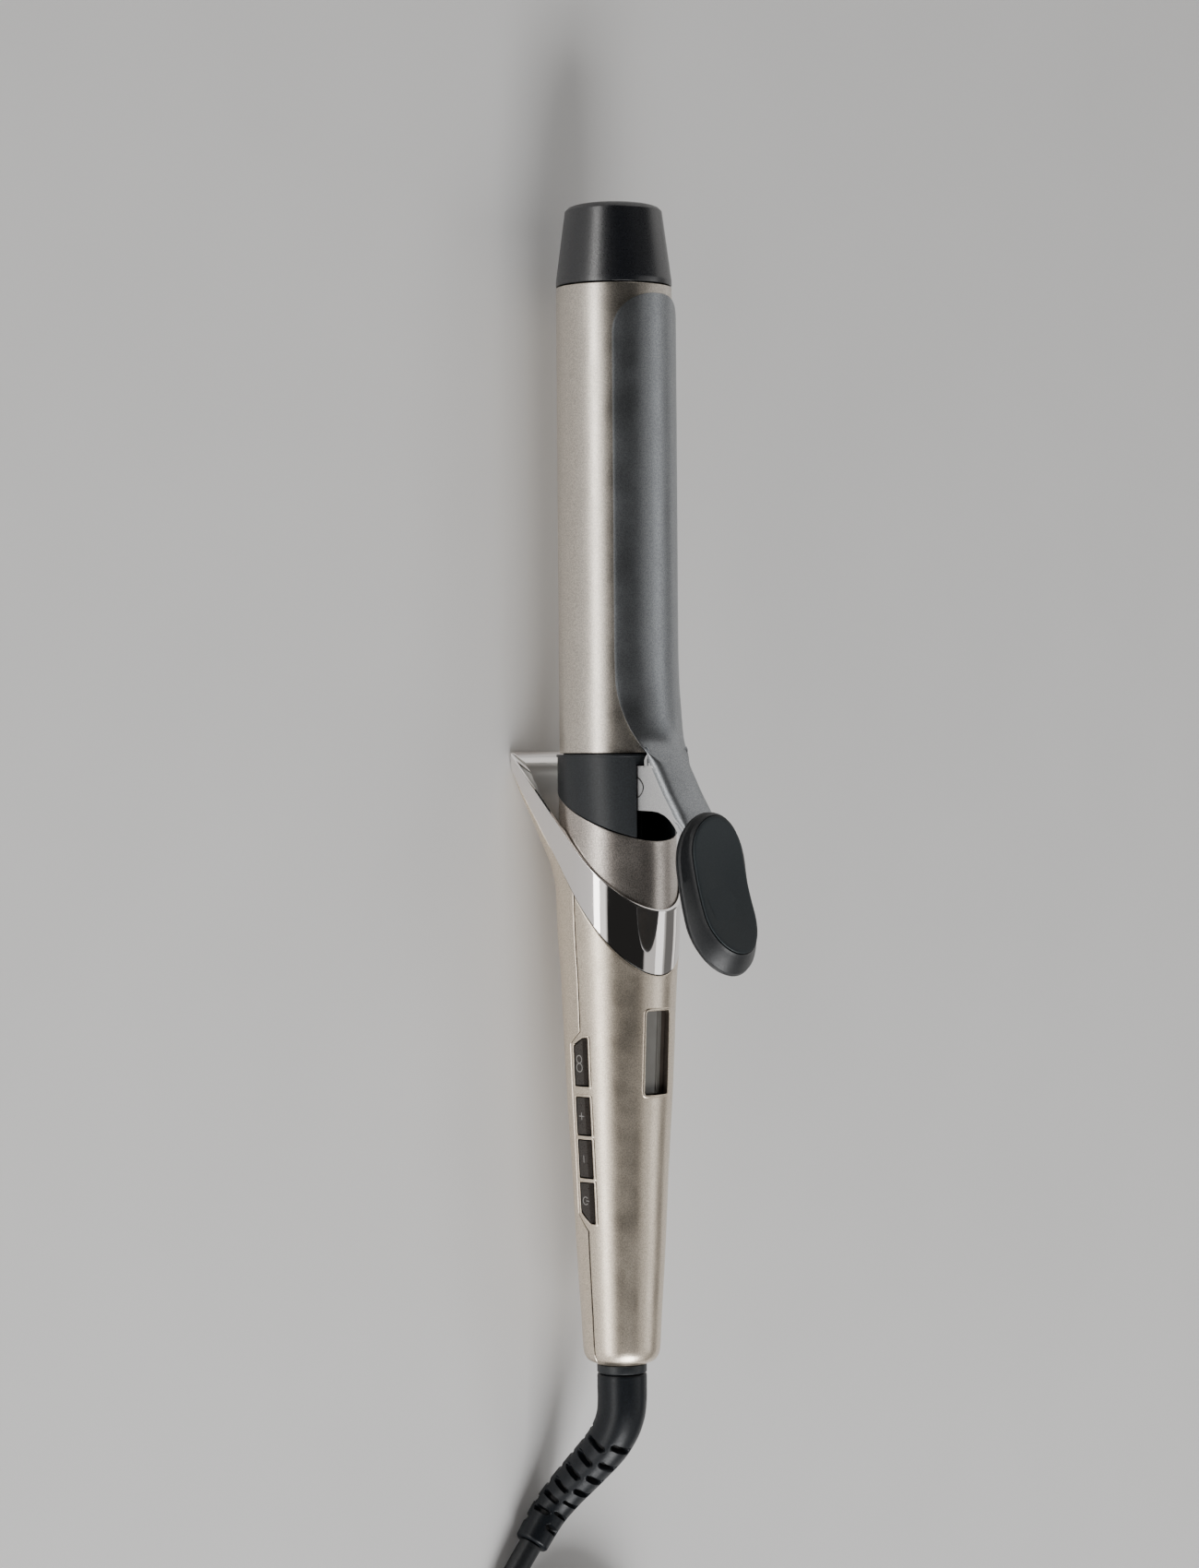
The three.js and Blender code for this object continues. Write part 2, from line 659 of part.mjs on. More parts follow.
function clipSheet(stations, grow) {
  return loft(
    stations.map((row, i) => {
      const next = stations[Math.min(i + 1, stations.length - 1)];
      const last = stations[Math.max(i - 1, 0)];
      return clipRing(row, grow, Math.atan2(next[1] - last[1], next[0] - last[0]));
    }),
  );
}

function flangeOutline() {
  const under = (x) => station(CLIP_STATIONS, x)[1] - 2.2;
  const round = [];
  for (let i = 0; i <= 8; i += 1) {
    const a = Math.PI + (Math.PI / 2) * (i / 8);
    round.push([PIVOT_X + 5.8 * Math.cos(a), PIVOT_Z + 5.8 * Math.sin(a)]);
  }
  const top = [23.5, 20, 15.8, 10.7, 5.6, 0.5, -1.5].map((x) => [x, under(x)]);
  const heel = [[12.2, 3.2], [14.2, 4.4], [15.4, 6.8], [15.4, 17]];
  const lowerEdge = [...heel, [16, 20.5], [17.8, 24], [20.2, 27.4], [22.8, 30.6]];
  return [...round, ...lowerEdge, ...top, [-1.5, 17.4], [3.2, 17.4]];
}

function clip() {
  const sheet = clipSheet(CLIP_STATIONS, 0);
  const flanges = [-1, 1].map((side) => {
    const [y0, y1] = side < 0 ? [-7.1, -6.3] : [6.3, 7.1];
    return prism(flangeOutline(), y0, y1);
  });
  const whole = join(sheet, ...flanges);
  add('clip', cut(whole, pinHole(PIN_R + GAP)), 'clipSilver');
}

// The pad's rim outline: a stadium from x0 to x1, drawn at the height that a rule gives.
function padRing(x0, x1, halfWidth, height) {
  const ring = [];
  const arc = (x, from) => {
    for (let i = 0; i < 10; i += 1) {
      const a = from + (Math.PI * (i + 0.5)) / 10;
      const place = x + halfWidth * 1.15 * Math.cos(a);
      ring.push([place, halfWidth * Math.sin(a), height(place)]);
    }
  };
  arc(x1 - halfWidth * 1.15, -Math.PI / 2);
  arc(x0 + halfWidth * 1.15, Math.PI / 2);
  const start = ring.length / 4;
  return [...ring.slice(start), ...ring.slice(0, start)];
}

const padUnder = (x) => {
  const t = (x - 15.6) / 44.4;
  return 33 - t + 10.6 * t * t;
};
const padFace = (x) => {
  const t = (x - 16.5) / 37;
  return 37.6 + 0.5 * t + 9.5 * t * t;
};

function pad() {
  const raised = (rule, by) => (x) => rule(x) + by;
  const base = loft([
    padRing(17, 58.6, 11.8, padUnder),
    padRing(15.8, 60, 12.9, raised(padUnder, 1)),
    padRing(15.8, 59.6, 12.8, raised(padUnder, 2.2)),
    padRing(16.3, 54.2, 10, raised(padFace, -1.4)),
  ]);
  const lever = clipSheet(CLIP_STATIONS.slice(-7), GAP);
  const tongueRoom = block([14, -7.4, 30], [28, 7.4, 34.6]);
  const holes = [32, 41].map((x) => bar([x, 0, 20], [x, 0, padFace(x) - 3], 1.5, 12));
  add('thumb_pad_base', cut(base, lever, tongueRoom, ...holes), 'black');
  const face = loft([
    padRing(16.5, 53.9, 9.8, raised(padFace, -1.1)),
    padRing(16.5, 53.7, 9.7, raised(padFace, -0.3)),
    padRing(17, 53.2, 9.3, padFace),
  ]);
  add('thumb_pad_face', face, 'padGrey');
}

barrel();
coolTip();
heater();
heaterLeads();
barrelSeat();
pivot();
barrelScrews();
innerRing();
heelBand();
shells();
shellScrews();
display();
electronics();
for (const [name, x0, x1] of BUTTONS) {
  button(name, x0, x1);
}
swivel();
boot();
cord();
clip();
pad();

iron.position.set(-(TIP_X + HANDLE_END_X) / 2, 0, AXIS_HEIGHT);
const whole = new THREE.Group();
whole.add(iron);

export default whole;
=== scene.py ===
"""A clip curling iron lying on its heel: fine meshes, materials, cord, light and camera.

Shapes are drawn in millimetres from the iron's own axis (y = 0, z = 0) and its collar plane
(x = 0); at() puts a point in the frame. +X runs to the cord and +Z is the clip's side.
"""

import json
from math import asin, atan2, copysign, cos, hypot, pi, radians, sin, sqrt

import bmesh
import bpy
import numpy as np
from mathutils import Matrix, Vector

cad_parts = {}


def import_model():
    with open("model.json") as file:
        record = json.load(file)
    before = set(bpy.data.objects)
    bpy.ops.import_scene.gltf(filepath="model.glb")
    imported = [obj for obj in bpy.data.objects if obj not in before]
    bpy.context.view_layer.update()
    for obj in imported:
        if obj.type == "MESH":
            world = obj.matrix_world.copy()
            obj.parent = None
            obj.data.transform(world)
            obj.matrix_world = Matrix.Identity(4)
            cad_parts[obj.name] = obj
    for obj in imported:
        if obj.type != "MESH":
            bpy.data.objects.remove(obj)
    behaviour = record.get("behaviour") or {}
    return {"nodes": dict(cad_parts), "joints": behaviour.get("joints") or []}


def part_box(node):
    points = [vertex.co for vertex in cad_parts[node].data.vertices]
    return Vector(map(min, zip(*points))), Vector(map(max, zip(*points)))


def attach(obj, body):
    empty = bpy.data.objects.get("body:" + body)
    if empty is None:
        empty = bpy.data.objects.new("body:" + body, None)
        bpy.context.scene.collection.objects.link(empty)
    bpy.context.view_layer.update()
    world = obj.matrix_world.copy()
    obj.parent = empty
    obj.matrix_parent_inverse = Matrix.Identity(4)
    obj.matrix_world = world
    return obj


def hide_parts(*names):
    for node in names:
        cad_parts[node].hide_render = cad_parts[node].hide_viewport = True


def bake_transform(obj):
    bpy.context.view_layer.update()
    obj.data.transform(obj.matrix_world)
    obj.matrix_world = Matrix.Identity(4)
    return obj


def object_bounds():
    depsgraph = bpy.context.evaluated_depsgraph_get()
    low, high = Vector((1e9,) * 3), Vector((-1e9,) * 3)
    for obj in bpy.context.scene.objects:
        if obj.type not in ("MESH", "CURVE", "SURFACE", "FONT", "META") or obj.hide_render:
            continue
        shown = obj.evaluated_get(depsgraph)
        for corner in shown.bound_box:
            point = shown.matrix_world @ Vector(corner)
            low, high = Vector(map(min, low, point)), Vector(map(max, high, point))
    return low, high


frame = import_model()
cad_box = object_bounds()

MM = 0.001
HANDLE_END_X = 168.4
JOINTS = {joint["name"]: joint for joint in frame["joints"]}
ORIGIN = Vector(JOINTS["cord_swivel_turn"]["pos_m"]) - Vector((HANDLE_END_X, 0, 0)) * MM


def at(point):
    return ORIGIN + Vector(point) * MM


def local_box(node):
    low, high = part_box(node)
    return (low - ORIGIN) / MM, (high - ORIGIN) / MM


# Sizes, from the frame where a node shows them

TIP_X = local_box("cool_tip")[0].x
BARREL_X = local_box("barrel")[0].x
BARREL_R = local_box("barrel")[1].y
CLIP_TIP_X = local_box("clip")[0].x
CLIP_HALF = local_box("clip")[1].y
PIVOT_X, _, PIVOT_Z = (Vector(JOINTS["clip_hinge"]["pos_m"]) - ORIGIN) / MM
SURFACE_Z = local_box("handle_lower_shell")[0].z
RING_R = local_box("inner_ring")[1].y
CLIP_SHEET = 0.8
FLANGE_Y = 7.1
SEAT_R = 16.6
SEAT_LIP_R = local_box("barrel_seat")[1].y
SEAT_START_X, SEAT_END_X = -10, local_box("barrel_seat")[1].x
SLOT_HALF = 7.5
SLOT_FLOOR = 1.85
SHELL_WALL = 1.8
RING_ROOM_R = 16.8
HANK_X = 264.3
HANK_Y = -4
HANK_RUN = 131.6
CORD_R = 3.25

# Slanted planes x = at + slope * z that part the collar's layers
RING_PLANE = (16.2, 0.4626)
RIM_PLANE = (25.2, 1.03)
SHELL_PLANE = (38.5, 1.38)

# The handle's outline: x, half-width, depth of the heel side, corner radius
HANDLE_STATIONS = [
    (-1, 17.6, 25.4, 1.8), (4, 17.6, 25.4, 1.8), (5.6, 17.6, 24.8, 2.6), (10.7, 17.6, 23.2, 4.4),
    (15.8, 17.6, 21.6, 7.2), (21, 17.6, 20, 9.8), (26, 17.5, 18.7, 12.5), (31, 17.5, 17.8, 15.5),
    (37, 17.4, 17, 16.8), (43, 17.3, 16.7, 16.7), (48, 17.1, 16.6, 16.6), (53, 16.8, 16.4, 16.4),
    (61.5, 16.1, 16.1, 16.1), (91, 14.8, 14.8, 14.8), (115, 13.4, 13.4, 13.4),
    (139, 12.2, 12.2, 12.2), (155, 11.2, 11.2, 11.2), (164.9, 10.6, 10.6, 10.6),
    (167.2, 9.6, 9.6, 9.6), (HANDLE_END_X, 7.4, 7.4, 7.4),
]

# Ridge of the clip and its lever: x, height, half-width, radius of the arch
CLIP_STATIONS = [
    (CLIP_TIP_X, 17.1, 12.5, 17.1), (-30, 17.1, 12.5, 17.1), (-20, 17.4, 12.5, 17.1),
    (-14, 17.9, 12, 17.1), (-8, 18.6, 10.6, 17), (-4, 19.5, 9.2, 17), (0.5, 22, 7.7, 17),
    (4, 24.1, FLANGE_Y, 17), (10.7, 28.1, FLANGE_Y, 17), (17, 32.3, FLANGE_Y, 17),
    (20, 33.8, 6.8, 18), (25, 35.3, 6.3, 20), (36, 38.1, 6, 40), (44, 40.2, 5, 60),
]

# Buttons: x of the two ends, and how much of a corner is cut from each end
BUTTONS = {
    "button_mode": (77.8, 90.8, 2.2, 0),
    "button_plus": (94.1, 104.4, 0, 0),
    "button_minus": (105.9, 116.2, 0, 0),
    "button_power": (117.7, 128.7, 0, 3.2),
}
BUTTON_HALF = 2.5
CREASE_Z = 1.0

# Boot: x, y, z of its centre line and its radius
BOOT_LINE = [
    (171.4, 0, 0, 6.9), (175, 0, 0, 6.9), (178.4, 0, 0, 6.85), (182.2, -0.15, -0.3, 6.75),
    (186, -0.65, -1.3, 6.6), (189.5, -1.4, -3, 6.45), (192.7, -2.2, -5.2, 6.3),
    (198.6, -4, -10.4, 6), (204.5, -5.9, -15.7, 5.6), (207.5, -7.2, -17.9, 5.4),
    (211, -9.3, -19.7, 5.2), (215, -12.3, -20.35, 4.95), (219.3, -15.7, -20.6, 4.75),
]

# Cord from the boot to the hank, and from the hank to the plug
LEAD_ROUTE = [
    (219.6, -15.9, -20.6), (223, -18.6, -21), (226.5, -21.2, -21.4), (230, -23.6, -21.8),
    (233.5, -25.7, -22.1), (237, -27.5, -22.15), (241, -28.9, -22.15), (245, -29.7, -22.1),
    (249, -30, -21.9), (253, -30, -21.6), (257, -30, -21.3),
]
TAIL_ROUTE = [
    (298, -12, -7.4), (303, -9.8, -7.4), (309, -7.6, -7.4), (320, -4.8, -7.4), (330, -4, -7.4),
    (335, -4, -7.4), (340, -4, -7.4),
]


# Mesh helpers

def linked(name, data):
    thing = bpy.data.objects.new(name, data)
    bpy.context.scene.collection.objects.link(thing)
    return thing


def turns(count):
    """So many angles evenly round a circle."""
    return [2 * pi * i / count for i in range(count)]


def polar(x, r, angle, y=0, z=0):
    return (x, y + r * cos(angle), z + r * sin(angle))


def rectangle(x0, x1, y0, y1):
    return [(x0, y0), (x1, y0), (x1, y1), (x0, y1)]


def made(name, points, faces, turn_out=True):
    data = bpy.data.meshes.new(name)
    data.from_pydata([at(point) for point in points], [], faces)
    if turn_out:
        shape = bmesh.new()
        shape.from_mesh(data)
        bmesh.ops.recalc_face_normals(shape, faces=shape.faces)
        shape.to_mesh(data)
        shape.free()
    return linked(name, data)


def smoothed(piece, degrees=35):
    """Smooth shading, broken where faces meet more sharply than so many degrees."""
    piece.data.shade_smooth()
    piece.data.set_sharp_from_angle(angle=radians(degrees))
    return piece


def quads(a, b):
    """Faces between two rows of point numbers."""
    return [(a[j], a[j + 1], b[j + 1], b[j]) for j in range(len(a) - 1)]


def skinned(rings, wrap=False, ends=True):
    """Points and faces of a body through rings of equal count; wrap joins the last to the first."""
    count = len(rings[0])
    points = [point for ring in rings for point in ring]
    rows = [[s * count + i % count for i in range(count + 1)] for s in range(len(rings))]
    if wrap:
        rows.append(rows[0])
    faces = [face for low, high in zip(rows, rows[1:]) for face in quads(low, high)]
    if ends and not wrap:
        faces += [tuple(rows[0][:-1]), tuple(rows[-1][:-1])]
    return points, faces


def lofted(name, rings, wrap=False, degrees=35):
    return smoothed(made(name, *skinned(rings, wrap)), degrees)


def soften(outline, radius, closed=False, parts=4):
    """An outline with each corner rounded off by up to radius."""
    spots = [Vector(spot) for spot in outline]
    out = []
    for i, spot in enumerate(spots):
        if not closed and i in (0, len(spots) - 1):
            out.append(spot)
            continue
        before, after = spots[i - 1], spots[(i + 1) % len(spots)]
        back, on = before - spot, after - spot
        cut = min(radius, 0.49 * back.length, 0.49 * on.length)
        start, end = spot + back.normalized() * cut, spot + on.normalized() * cut
        for k in range(parts + 1):
            t = k / parts
            out.append(start * (1 - t) ** 2 + spot * 2 * t * (1 - t) + end * t ** 2)
    return [tuple(spot) for spot in out]


def outward(before, after):
    """Unit vector to the right of the way from one point to another, in two dimensions."""
    along = Vector((after[0] - before[0], after[1] - before[1])).normalized()
    return Vector((along.y, -along.x))


def normals(spots):
    """Unit vectors square to a closed outline, one at each point."""
    return [outward(spots[i - 1], spots[(i + 1) % len(spots)]) for i in range(len(spots))]


def resampled(line, count):
    """Points evenly spaced along a line, ends included."""
    spots = np.array(line, float)
    gone = np.concatenate([[0], np.cumsum(np.linalg.norm(np.diff(spots, axis=0), axis=1))])
    marks = np.linspace(0, gone[-1], count)
    return np.column_stack([np.interp(marks, gone, spots[:, k]) for k in range(spots.shape[1])])


def around(outline, count):
    """So many points evenly spaced round a closed outline."""
    return resampled(outline + outline[:1], count + 1)[:-1]


def lathed(name, profile, segments, wrap=False, degrees=35, centre=(0, 0)):
    """A body turned about an x axis from (x, r) points; wrap closes a tube's profile."""
    rings = [[polar(x, r, a, *centre) for a in turns(segments)] for x, r in profile]
    return lofted(name, rings, wrap, degrees)


def curve_of(table):
    """A function giving a station table's values at x, on smooth curves that don't overshoot."""
    rows = np.array(table, float)
    x, values = rows[:, 0], rows[:, 1:]
    step = np.diff(values, axis=0) / np.diff(x)[:, None]
    lean = np.zeros_like(values)
    both = step[:-1] * step[1:]
    total = step[:-1] + step[1:]
    lean[1:-1] = np.where(both > 0, 2 * both / np.where(total == 0, 1, total), 0)
    lean[0], lean[-1] = step[0], step[-1]

    def value(where):
        i = int(np.clip(np.searchsorted(x, where) - 1, 0, len(x) - 2))
        span = x[i + 1] - x[i]
        t = (where - x[i]) / span
        low, high = values[i], values[i + 1]
        return (
            low * (2 * t ** 3 - 3 * t ** 2 + 1)
            + high * (3 * t ** 2 - 2 * t ** 3)
            + lean[i] * span * (t ** 3 - 2 * t ** 2 + t)
            + lean[i + 1] * span * (t ** 3 - t ** 2)
        )

    return value


def smooth_line(points, step):
    """A smooth curve through points (Catmull-Rom), cut about every so many millimetres."""
    spots = [Vector(point) for point in points]
    spots = [spots[0] * 2 - spots[1]] + spots + [spots[-1] * 2 - spots[-2]]
    out = []
    for i in range(1, len(spots) - 2):
        p0, p1, p2, p3 = spots[i - 1:i + 3]
        parts = max(1, round((p2 - p1).length / step))
        for k in range(parts):
            t = k / parts
            out.append(
                0.5 * (
                    p1 * 2 + (p2 - p0) * t + (p0 * 2 - p1 * 5 + p2 * 4 - p3) * t ** 2
                    + (p1 * 3 - p0 - p2 * 3 + p3) * t ** 3
                )
            )
    return out + [spots[-2]]


def eased(t):
    t = min(max(t, 0), 1)
    return t * t * (3 - 2 * t)


def tube_rings(line, radius_at, sides, shape=None):
    """Rings square to a line, carried along it without twisting."""
    rings = []
    across = None
    for i, spot in enumerate(line):
        before, after = line[max(0, i - 1)], line[min(len(line) - 1, i + 1)]
        along = (after - before).normalized()
        if across is None:
            across = Vector((0, 1, -1)).cross(along).normalized()
        across = (across - along * across.dot(along)).normalized()
        up = along.cross(across)
        ring = []
        for a in turns(sides):
            r = radius_at(i) - (shape(i, a) if shape else 0)
            ring.append(tuple(spot + across * (r * cos(a)) + up * (r * sin(a))))
        rings.append(ring)
    return rings


def prism(name, outline, low, high, axis="z", edge=0.0, parts=3, degrees=35):
    """An outline carried along an axis from low to high, with rounded edges."""
    turn = {
        "x": lambda a, b, c: (c, a, b),
        "y": lambda a, b, c: (a, c, b),
        "z": lambda a, b, c: (a, b, c),
    }[axis]
    spots = [Vector(spot).to_2d() for spot in outline]
    area = sum(a.x * b.y - b.x * a.y for a, b in zip(spots, spots[1:] + spots[:1]))
    away = [n * copysign(1, area) for n in normals(spots)]
    levels = [(edge * (1 - sin(t)), edge * (1 - cos(t)))
              for t in np.linspace(0, pi / 2, parts + 1)] if edge else [(0, 0)]
    rings = []
    for inset, lift in levels:
        rings.append([turn(*(s - n * inset), low + lift) for s, n in zip(spots, away)])
    for inset, lift in reversed(levels):
        rings.append([turn(*(s - n * inset), high - lift) for s, n in zip(spots, away)])
    return lofted(name, rings, degrees=degrees)


def carve(piece, *cutters):
    """Cuts the cutters out of a piece, and removes them."""
    for cutter in cutters:
        work = piece.modifiers.new("carve", "BOOLEAN")
        work.operation = "DIFFERENCE"
        work.solver = "EXACT"
        work.object = cutter
        bpy.context.view_layer.update()
        seen = piece.evaluated_get(bpy.context.evaluated_depsgraph_get())
        data = bpy.data.meshes.new_from_object(seen)
        piece.modifiers.remove(work)
        piece.data = data
        bpy.data.objects.remove(cutter)
    return smoothed(piece)


def edged(piece, width, segments=2, degrees=50):
    """Small rounded edges, as a moulding or a pressing has."""
    bevel = piece.modifiers.new("edge", "BEVEL")
    bevel.width = width * MM
    bevel.segments = segments
    bevel.limit_method = "ANGLE"
    bevel.angle_limit = radians(degrees)
    bevel.harden_normals = False
    return piece


def placed(piece, material, slot, body="handle"):
    """Dresses a piece and puts it on a body. One named after a node, with _fine, replaces it."""
    piece.data.materials.clear()
    piece.data.materials.append(material)
    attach(piece, body)
    node = piece.name.removesuffix("_fine")
    if node in frame["nodes"]:
        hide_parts(node)
    return piece


def two_tone(piece, material, wanted):
    """Gives the faces that a rule picks a second material."""
    piece.data.materials.append(material)
    for face in piece.data.polygons:
        if wanted(face):
            face.material_index = 1


# Materials: every pattern is laid in the object's own coordinates, in metres

class Nodes:
    """A small helper that builds the nodes of a material or of the world."""

    def __init__(self, owner, shader="Principled BSDF", place="Object"):
        owner.use_nodes = True
        self.owner = owner
        self.tree = owner.node_tree
        self.shader = self.tree.nodes[shader]
        self.place = self.new("TexCoord").outputs[place]

    def new(self, kind):
        return self.tree.nodes.new("ShaderNode" + kind)

    def fill(self, node, values):
        """Sets or links a node's inputs, and gives its outputs."""
        for name, value in values.items():
            socket = node.inputs[name]
            if isinstance(value, bpy.types.NodeSocket):
                self.tree.links.new(value, socket)
            else:
                socket.default_value = (*value, 1) if isinstance(value, tuple) else value
        return node.outputs

    def into(self, **values):
        """Fills the shader's inputs, named with underscores for spaces."""
        self.fill(self.shader, {name.replace("_", " "): value for name, value in values.items()})

    def noise(self, size, detail):
        """A cloudy pattern whose features are about size millimetres."""
        return self.fill(self.new("TexNoise"), {
            "Scale": 1 / (size * MM), "Detail": detail, "Vector": self.place})["Fac"]

    def spread(self, output, low, high, start=0.3, end=0.7):
        """The pattern's values start to end carried to low to high."""
        return self.fill(self.new("MapRange"), {
            "From Min": start, "From Max": end, "To Min": low, "To Max": high,
            "Value": output})[0]

    def blend(self, output, first, second):
        mix = self.new("Mix")
        mix.data_type = "RGBA"
        return self.fill(mix, {0: output, 6: first, 7: second})[2]

    def bump(self, output, depth, strength, under=None):
        """Relief of so many millimetres, laid over the relief under it."""
        values = {"Strength": strength, "Distance": depth * MM, "Height": output}
        if under is not None:
            values["Normal"] = under
        return self.fill(self.new("Bump"), values)[0]


def metal(name, first, second, rough, flake=0.0, flake_size=0.12, metallic=1.0, coat=0.0):
    """Satin or sparkling metal: two close colours, uneven roughness, and flakes so many mm deep."""
    n = Nodes(bpy.data.materials.new(name))
    cloud = n.noise(9, 3)
    speck = n.noise(flake_size * 0.7, 1)
    tone = n.blend(n.spread(speck, 0, 1, 0.4, 0.6), first, second)
    relief = n.bump(n.noise(0.5, 3), 0.004, 0.35)
    if flake:
        relief = n.bump(speck, flake, 0.6, relief)
    n.into(
        Base_Color=tone,
        Metallic=metallic,
        Roughness=n.spread(cloud, rough - 0.03, rough + 0.04),
        Normal=relief,
        Coat_Weight=coat,
        Coat_Roughness=0.12,
    )
    return n.owner


def moulding(name, first, second, rough, grain=0.25, depth=0.02, sheen=0.0, gloss=0.45):
    """Moulded plastic or rubber with a fine spark-eroded texture."""
    n = Nodes(bpy.data.materials.new(name))
    tone = n.blend(n.spread(n.noise(grain * 1.6, 2), 0, 1), first, second)
    n.into(
        Base_Color=tone,
        Roughness=n.spread(n.noise(grain, 2), rough - 0.06, rough + 0.08),
        Normal=n.bump(n.noise(grain, 3), depth, 0.7),
        Specular_IOR_Level=gloss,
        Sheen_Weight=sheen,
        Sheen_Roughness=0.5,
    )
    return n.owner


def glass(name, first, second, rough):
    n = Nodes(bpy.data.materials.new(name))
    n.into(
        Base_Color=n.blend(n.spread(n.noise(4, 1), 0, 1), first, second),
        Roughness=n.spread(n.noise(2.5, 2), rough, rough + 0.04),
        Specular_IOR_Level=0.4,
    )
    return n.owner


BARREL = metal("barrel_satin", (0.76, 0.70, 0.62), (0.54, 0.49, 0.43), 0.31, 0.014, 0.42)
CLIP = metal("clip_satin", (0.36, 0.375, 0.39), (0.255, 0.265, 0.28), 0.37, 0.012, 0.42)
# A lighter copy of the clip satin for the flat flange sides: painted light standing in for the
# light that they catch
CLIP_SIDE_PAINTED_LIGHT = metal("clip_side_painted_light", (0.80, 0.80, 0.80), (0.68, 0.68, 0.69), 0.36, 0.012, 0.42)
# Near-black metal for the coined line on the flange: painted shade of the groove
FLANGE_GROOVE_SHADE = metal("coined_groove_painted_shade", (0.05, 0.05, 0.05), (0.08, 0.08, 0.08), 0.5)
RING = metal("ring_sparkle", (0.66, 0.60, 0.55), (0.40, 0.36, 0.325), 0.36, 0.022, 0.42)
CHROME = metal("rose_chrome", (0.90, 0.86, 0.84), (0.87, 0.83, 0.81), 0.045)
# Near-white, barely metallic inside of the chrome band: painted reflection of a bright softbox
BAND_INSIDE_PAINTED_REFLECTION = metal("band_inside_painted_reflection", (0.95, 0.94, 0.92), (0.91, 0.90, 0.88), 0.3, metallic=0.15)
CHAMPAGNE = metal("champagne_paint", (0.86, 0.76, 0.63), (0.63, 0.54, 0.43), 0.33, 0.016, 0.42,
                  coat=0.12)
SHELL_INSIDE = moulding("shell_inside", (0.045, 0.034, 0.026), (0.07, 0.055, 0.042), 0.6, 0.4, 0.02)
STEEL = metal("steel", (0.62, 0.62, 0.62), (0.55, 0.55, 0.54), 0.26)
ALUMINIUM = metal("aluminium", (0.66, 0.67, 0.68), (0.60, 0.61, 0.62), 0.38)
BRASS = metal("brass", (0.71, 0.55, 0.27), (0.62, 0.47, 0.22), 0.28)
NICKEL = metal("plug_nickel", (0.70, 0.68, 0.62), (0.64, 0.62, 0.56), 0.22)
BLACK = moulding("black_moulding", (0.006, 0.0075, 0.009), (0.016, 0.019, 0.022), 0.42, 0.26, 0.03)
TIP_BLACK = moulding("tip_black", (0.002, 0.0025, 0.004), (0.006, 0.007, 0.010), 0.30, 0.28, 0.03,
                     gloss=1.0)
PAD_SIDE = moulding("pad_side", (0.005, 0.006, 0.007), (0.014, 0.015, 0.017), 0.44, 0.26, 0.035)
PAD = moulding("soft_touch", (0.011, 0.016, 0.019), (0.016, 0.023, 0.027), 0.55, 0.2, 0.008)
BOOT = moulding("boot_rubber", (0.004, 0.005, 0.0065), (0.009, 0.011, 0.014), 0.36, 0.32, 0.03,
                gloss=0.26)
# Near-black rubber for the deep faces of the boot's slots: painted shade inside the grooves
BOOT_SLOT_SHADE = moulding("boot_slot", (0.001, 0.001, 0.001), (0.003, 0.003, 0.003), 0.6, 0.32, 0.02)
CORD = moulding("cord_rubber", (0.006, 0.007, 0.008), (0.013, 0.014, 0.016), 0.42, 0.5, 0.01)
STRAP = moulding("tie_fabric", (0.008, 0.008, 0.009), (0.030, 0.031, 0.033), 0.85, 0.35, 0.12, 0.4)
BUTTON = moulding("button_gloss", (0.026, 0.021, 0.018), (0.034, 0.028, 0.024), 0.30, 0.3, 0.003)
ICON = moulding("icon_print", (0.24, 0.23, 0.22), (0.30, 0.29, 0.28), 0.5, 0.2, 0.004)
LENS = glass("smoked_lens", (0.13, 0.123, 0.11), (0.15, 0.143, 0.13), 0.16)
LENS_DARK = glass("smoked_lens_edge", (0.045, 0.037, 0.030), (0.06, 0.048, 0.040), 0.16)
CERAMIC = moulding("ceramic", (0.74, 0.71, 0.65), (0.80, 0.78, 0.72), 0.6, 0.4, 0.02)
BOARD = moulding("circuit_board", (0.012, 0.10, 0.04), (0.02, 0.15, 0.06), 0.4, 0.8, 0.02)
RED_WIRE = moulding("red_wire", (0.22, 0.02, 0.015), (0.30, 0.03, 0.02), 0.5, 0.5, 0.01)
WHITE_WIRE = moulding("white_wire", (0.68, 0.67, 0.63), (0.76, 0.75, 0.71), 0.5, 0.5, 0.01)


# Handle section: radius at an angle (0 = +Y, 90 = +Z) of the outline at x, drawn in by an inset

handle_at = curve_of(HANDLE_STATIONS)


def handle_radius(x, angle, inset=0.0):
    half, heel, corner = handle_at(min(max(x, -1), HANDLE_END_X))
    w, depth = half - inset, heel - inset
    r = max(0.4, min(corner - inset, w, depth))
    c, s = abs(cos(angle)), sin(angle)
    if s >= 0:
        return w
    side = w / c if c > 1e-9 else 1e9
    if side * -s <= depth - r:
        return side
    base = depth / -s
    if base * c <= w - r:
        return base
    cy, cz = w - r, depth - r
    towards = c * cy - s * cz
    return towards + sqrt(max(0.0, towards ** 2 - cy ** 2 - cz ** 2 + r ** 2))


def plane_x(plane, angle, radius_at, shift=0.0):
    """x where the plane cuts the line at an angle on a surface whose radius varies with x."""
    x = plane[0]
    for _ in range(40):
        x = plane[0] + shift + plane[1] * radius_at(x) * sin(angle)
    return x


def ring_angles():
    """Angles round the section, closer together at the heel's corners."""
    plain = set(np.round(np.arange(0, 360, 2.5), 2))
    fine = set(np.round(np.arange(231, 241, 0.5), 2)) | set(np.round(np.arange(299, 309, 0.5), 2))
    return [radians(a) for a in sorted(plain | fine)]


# Barrel and tip

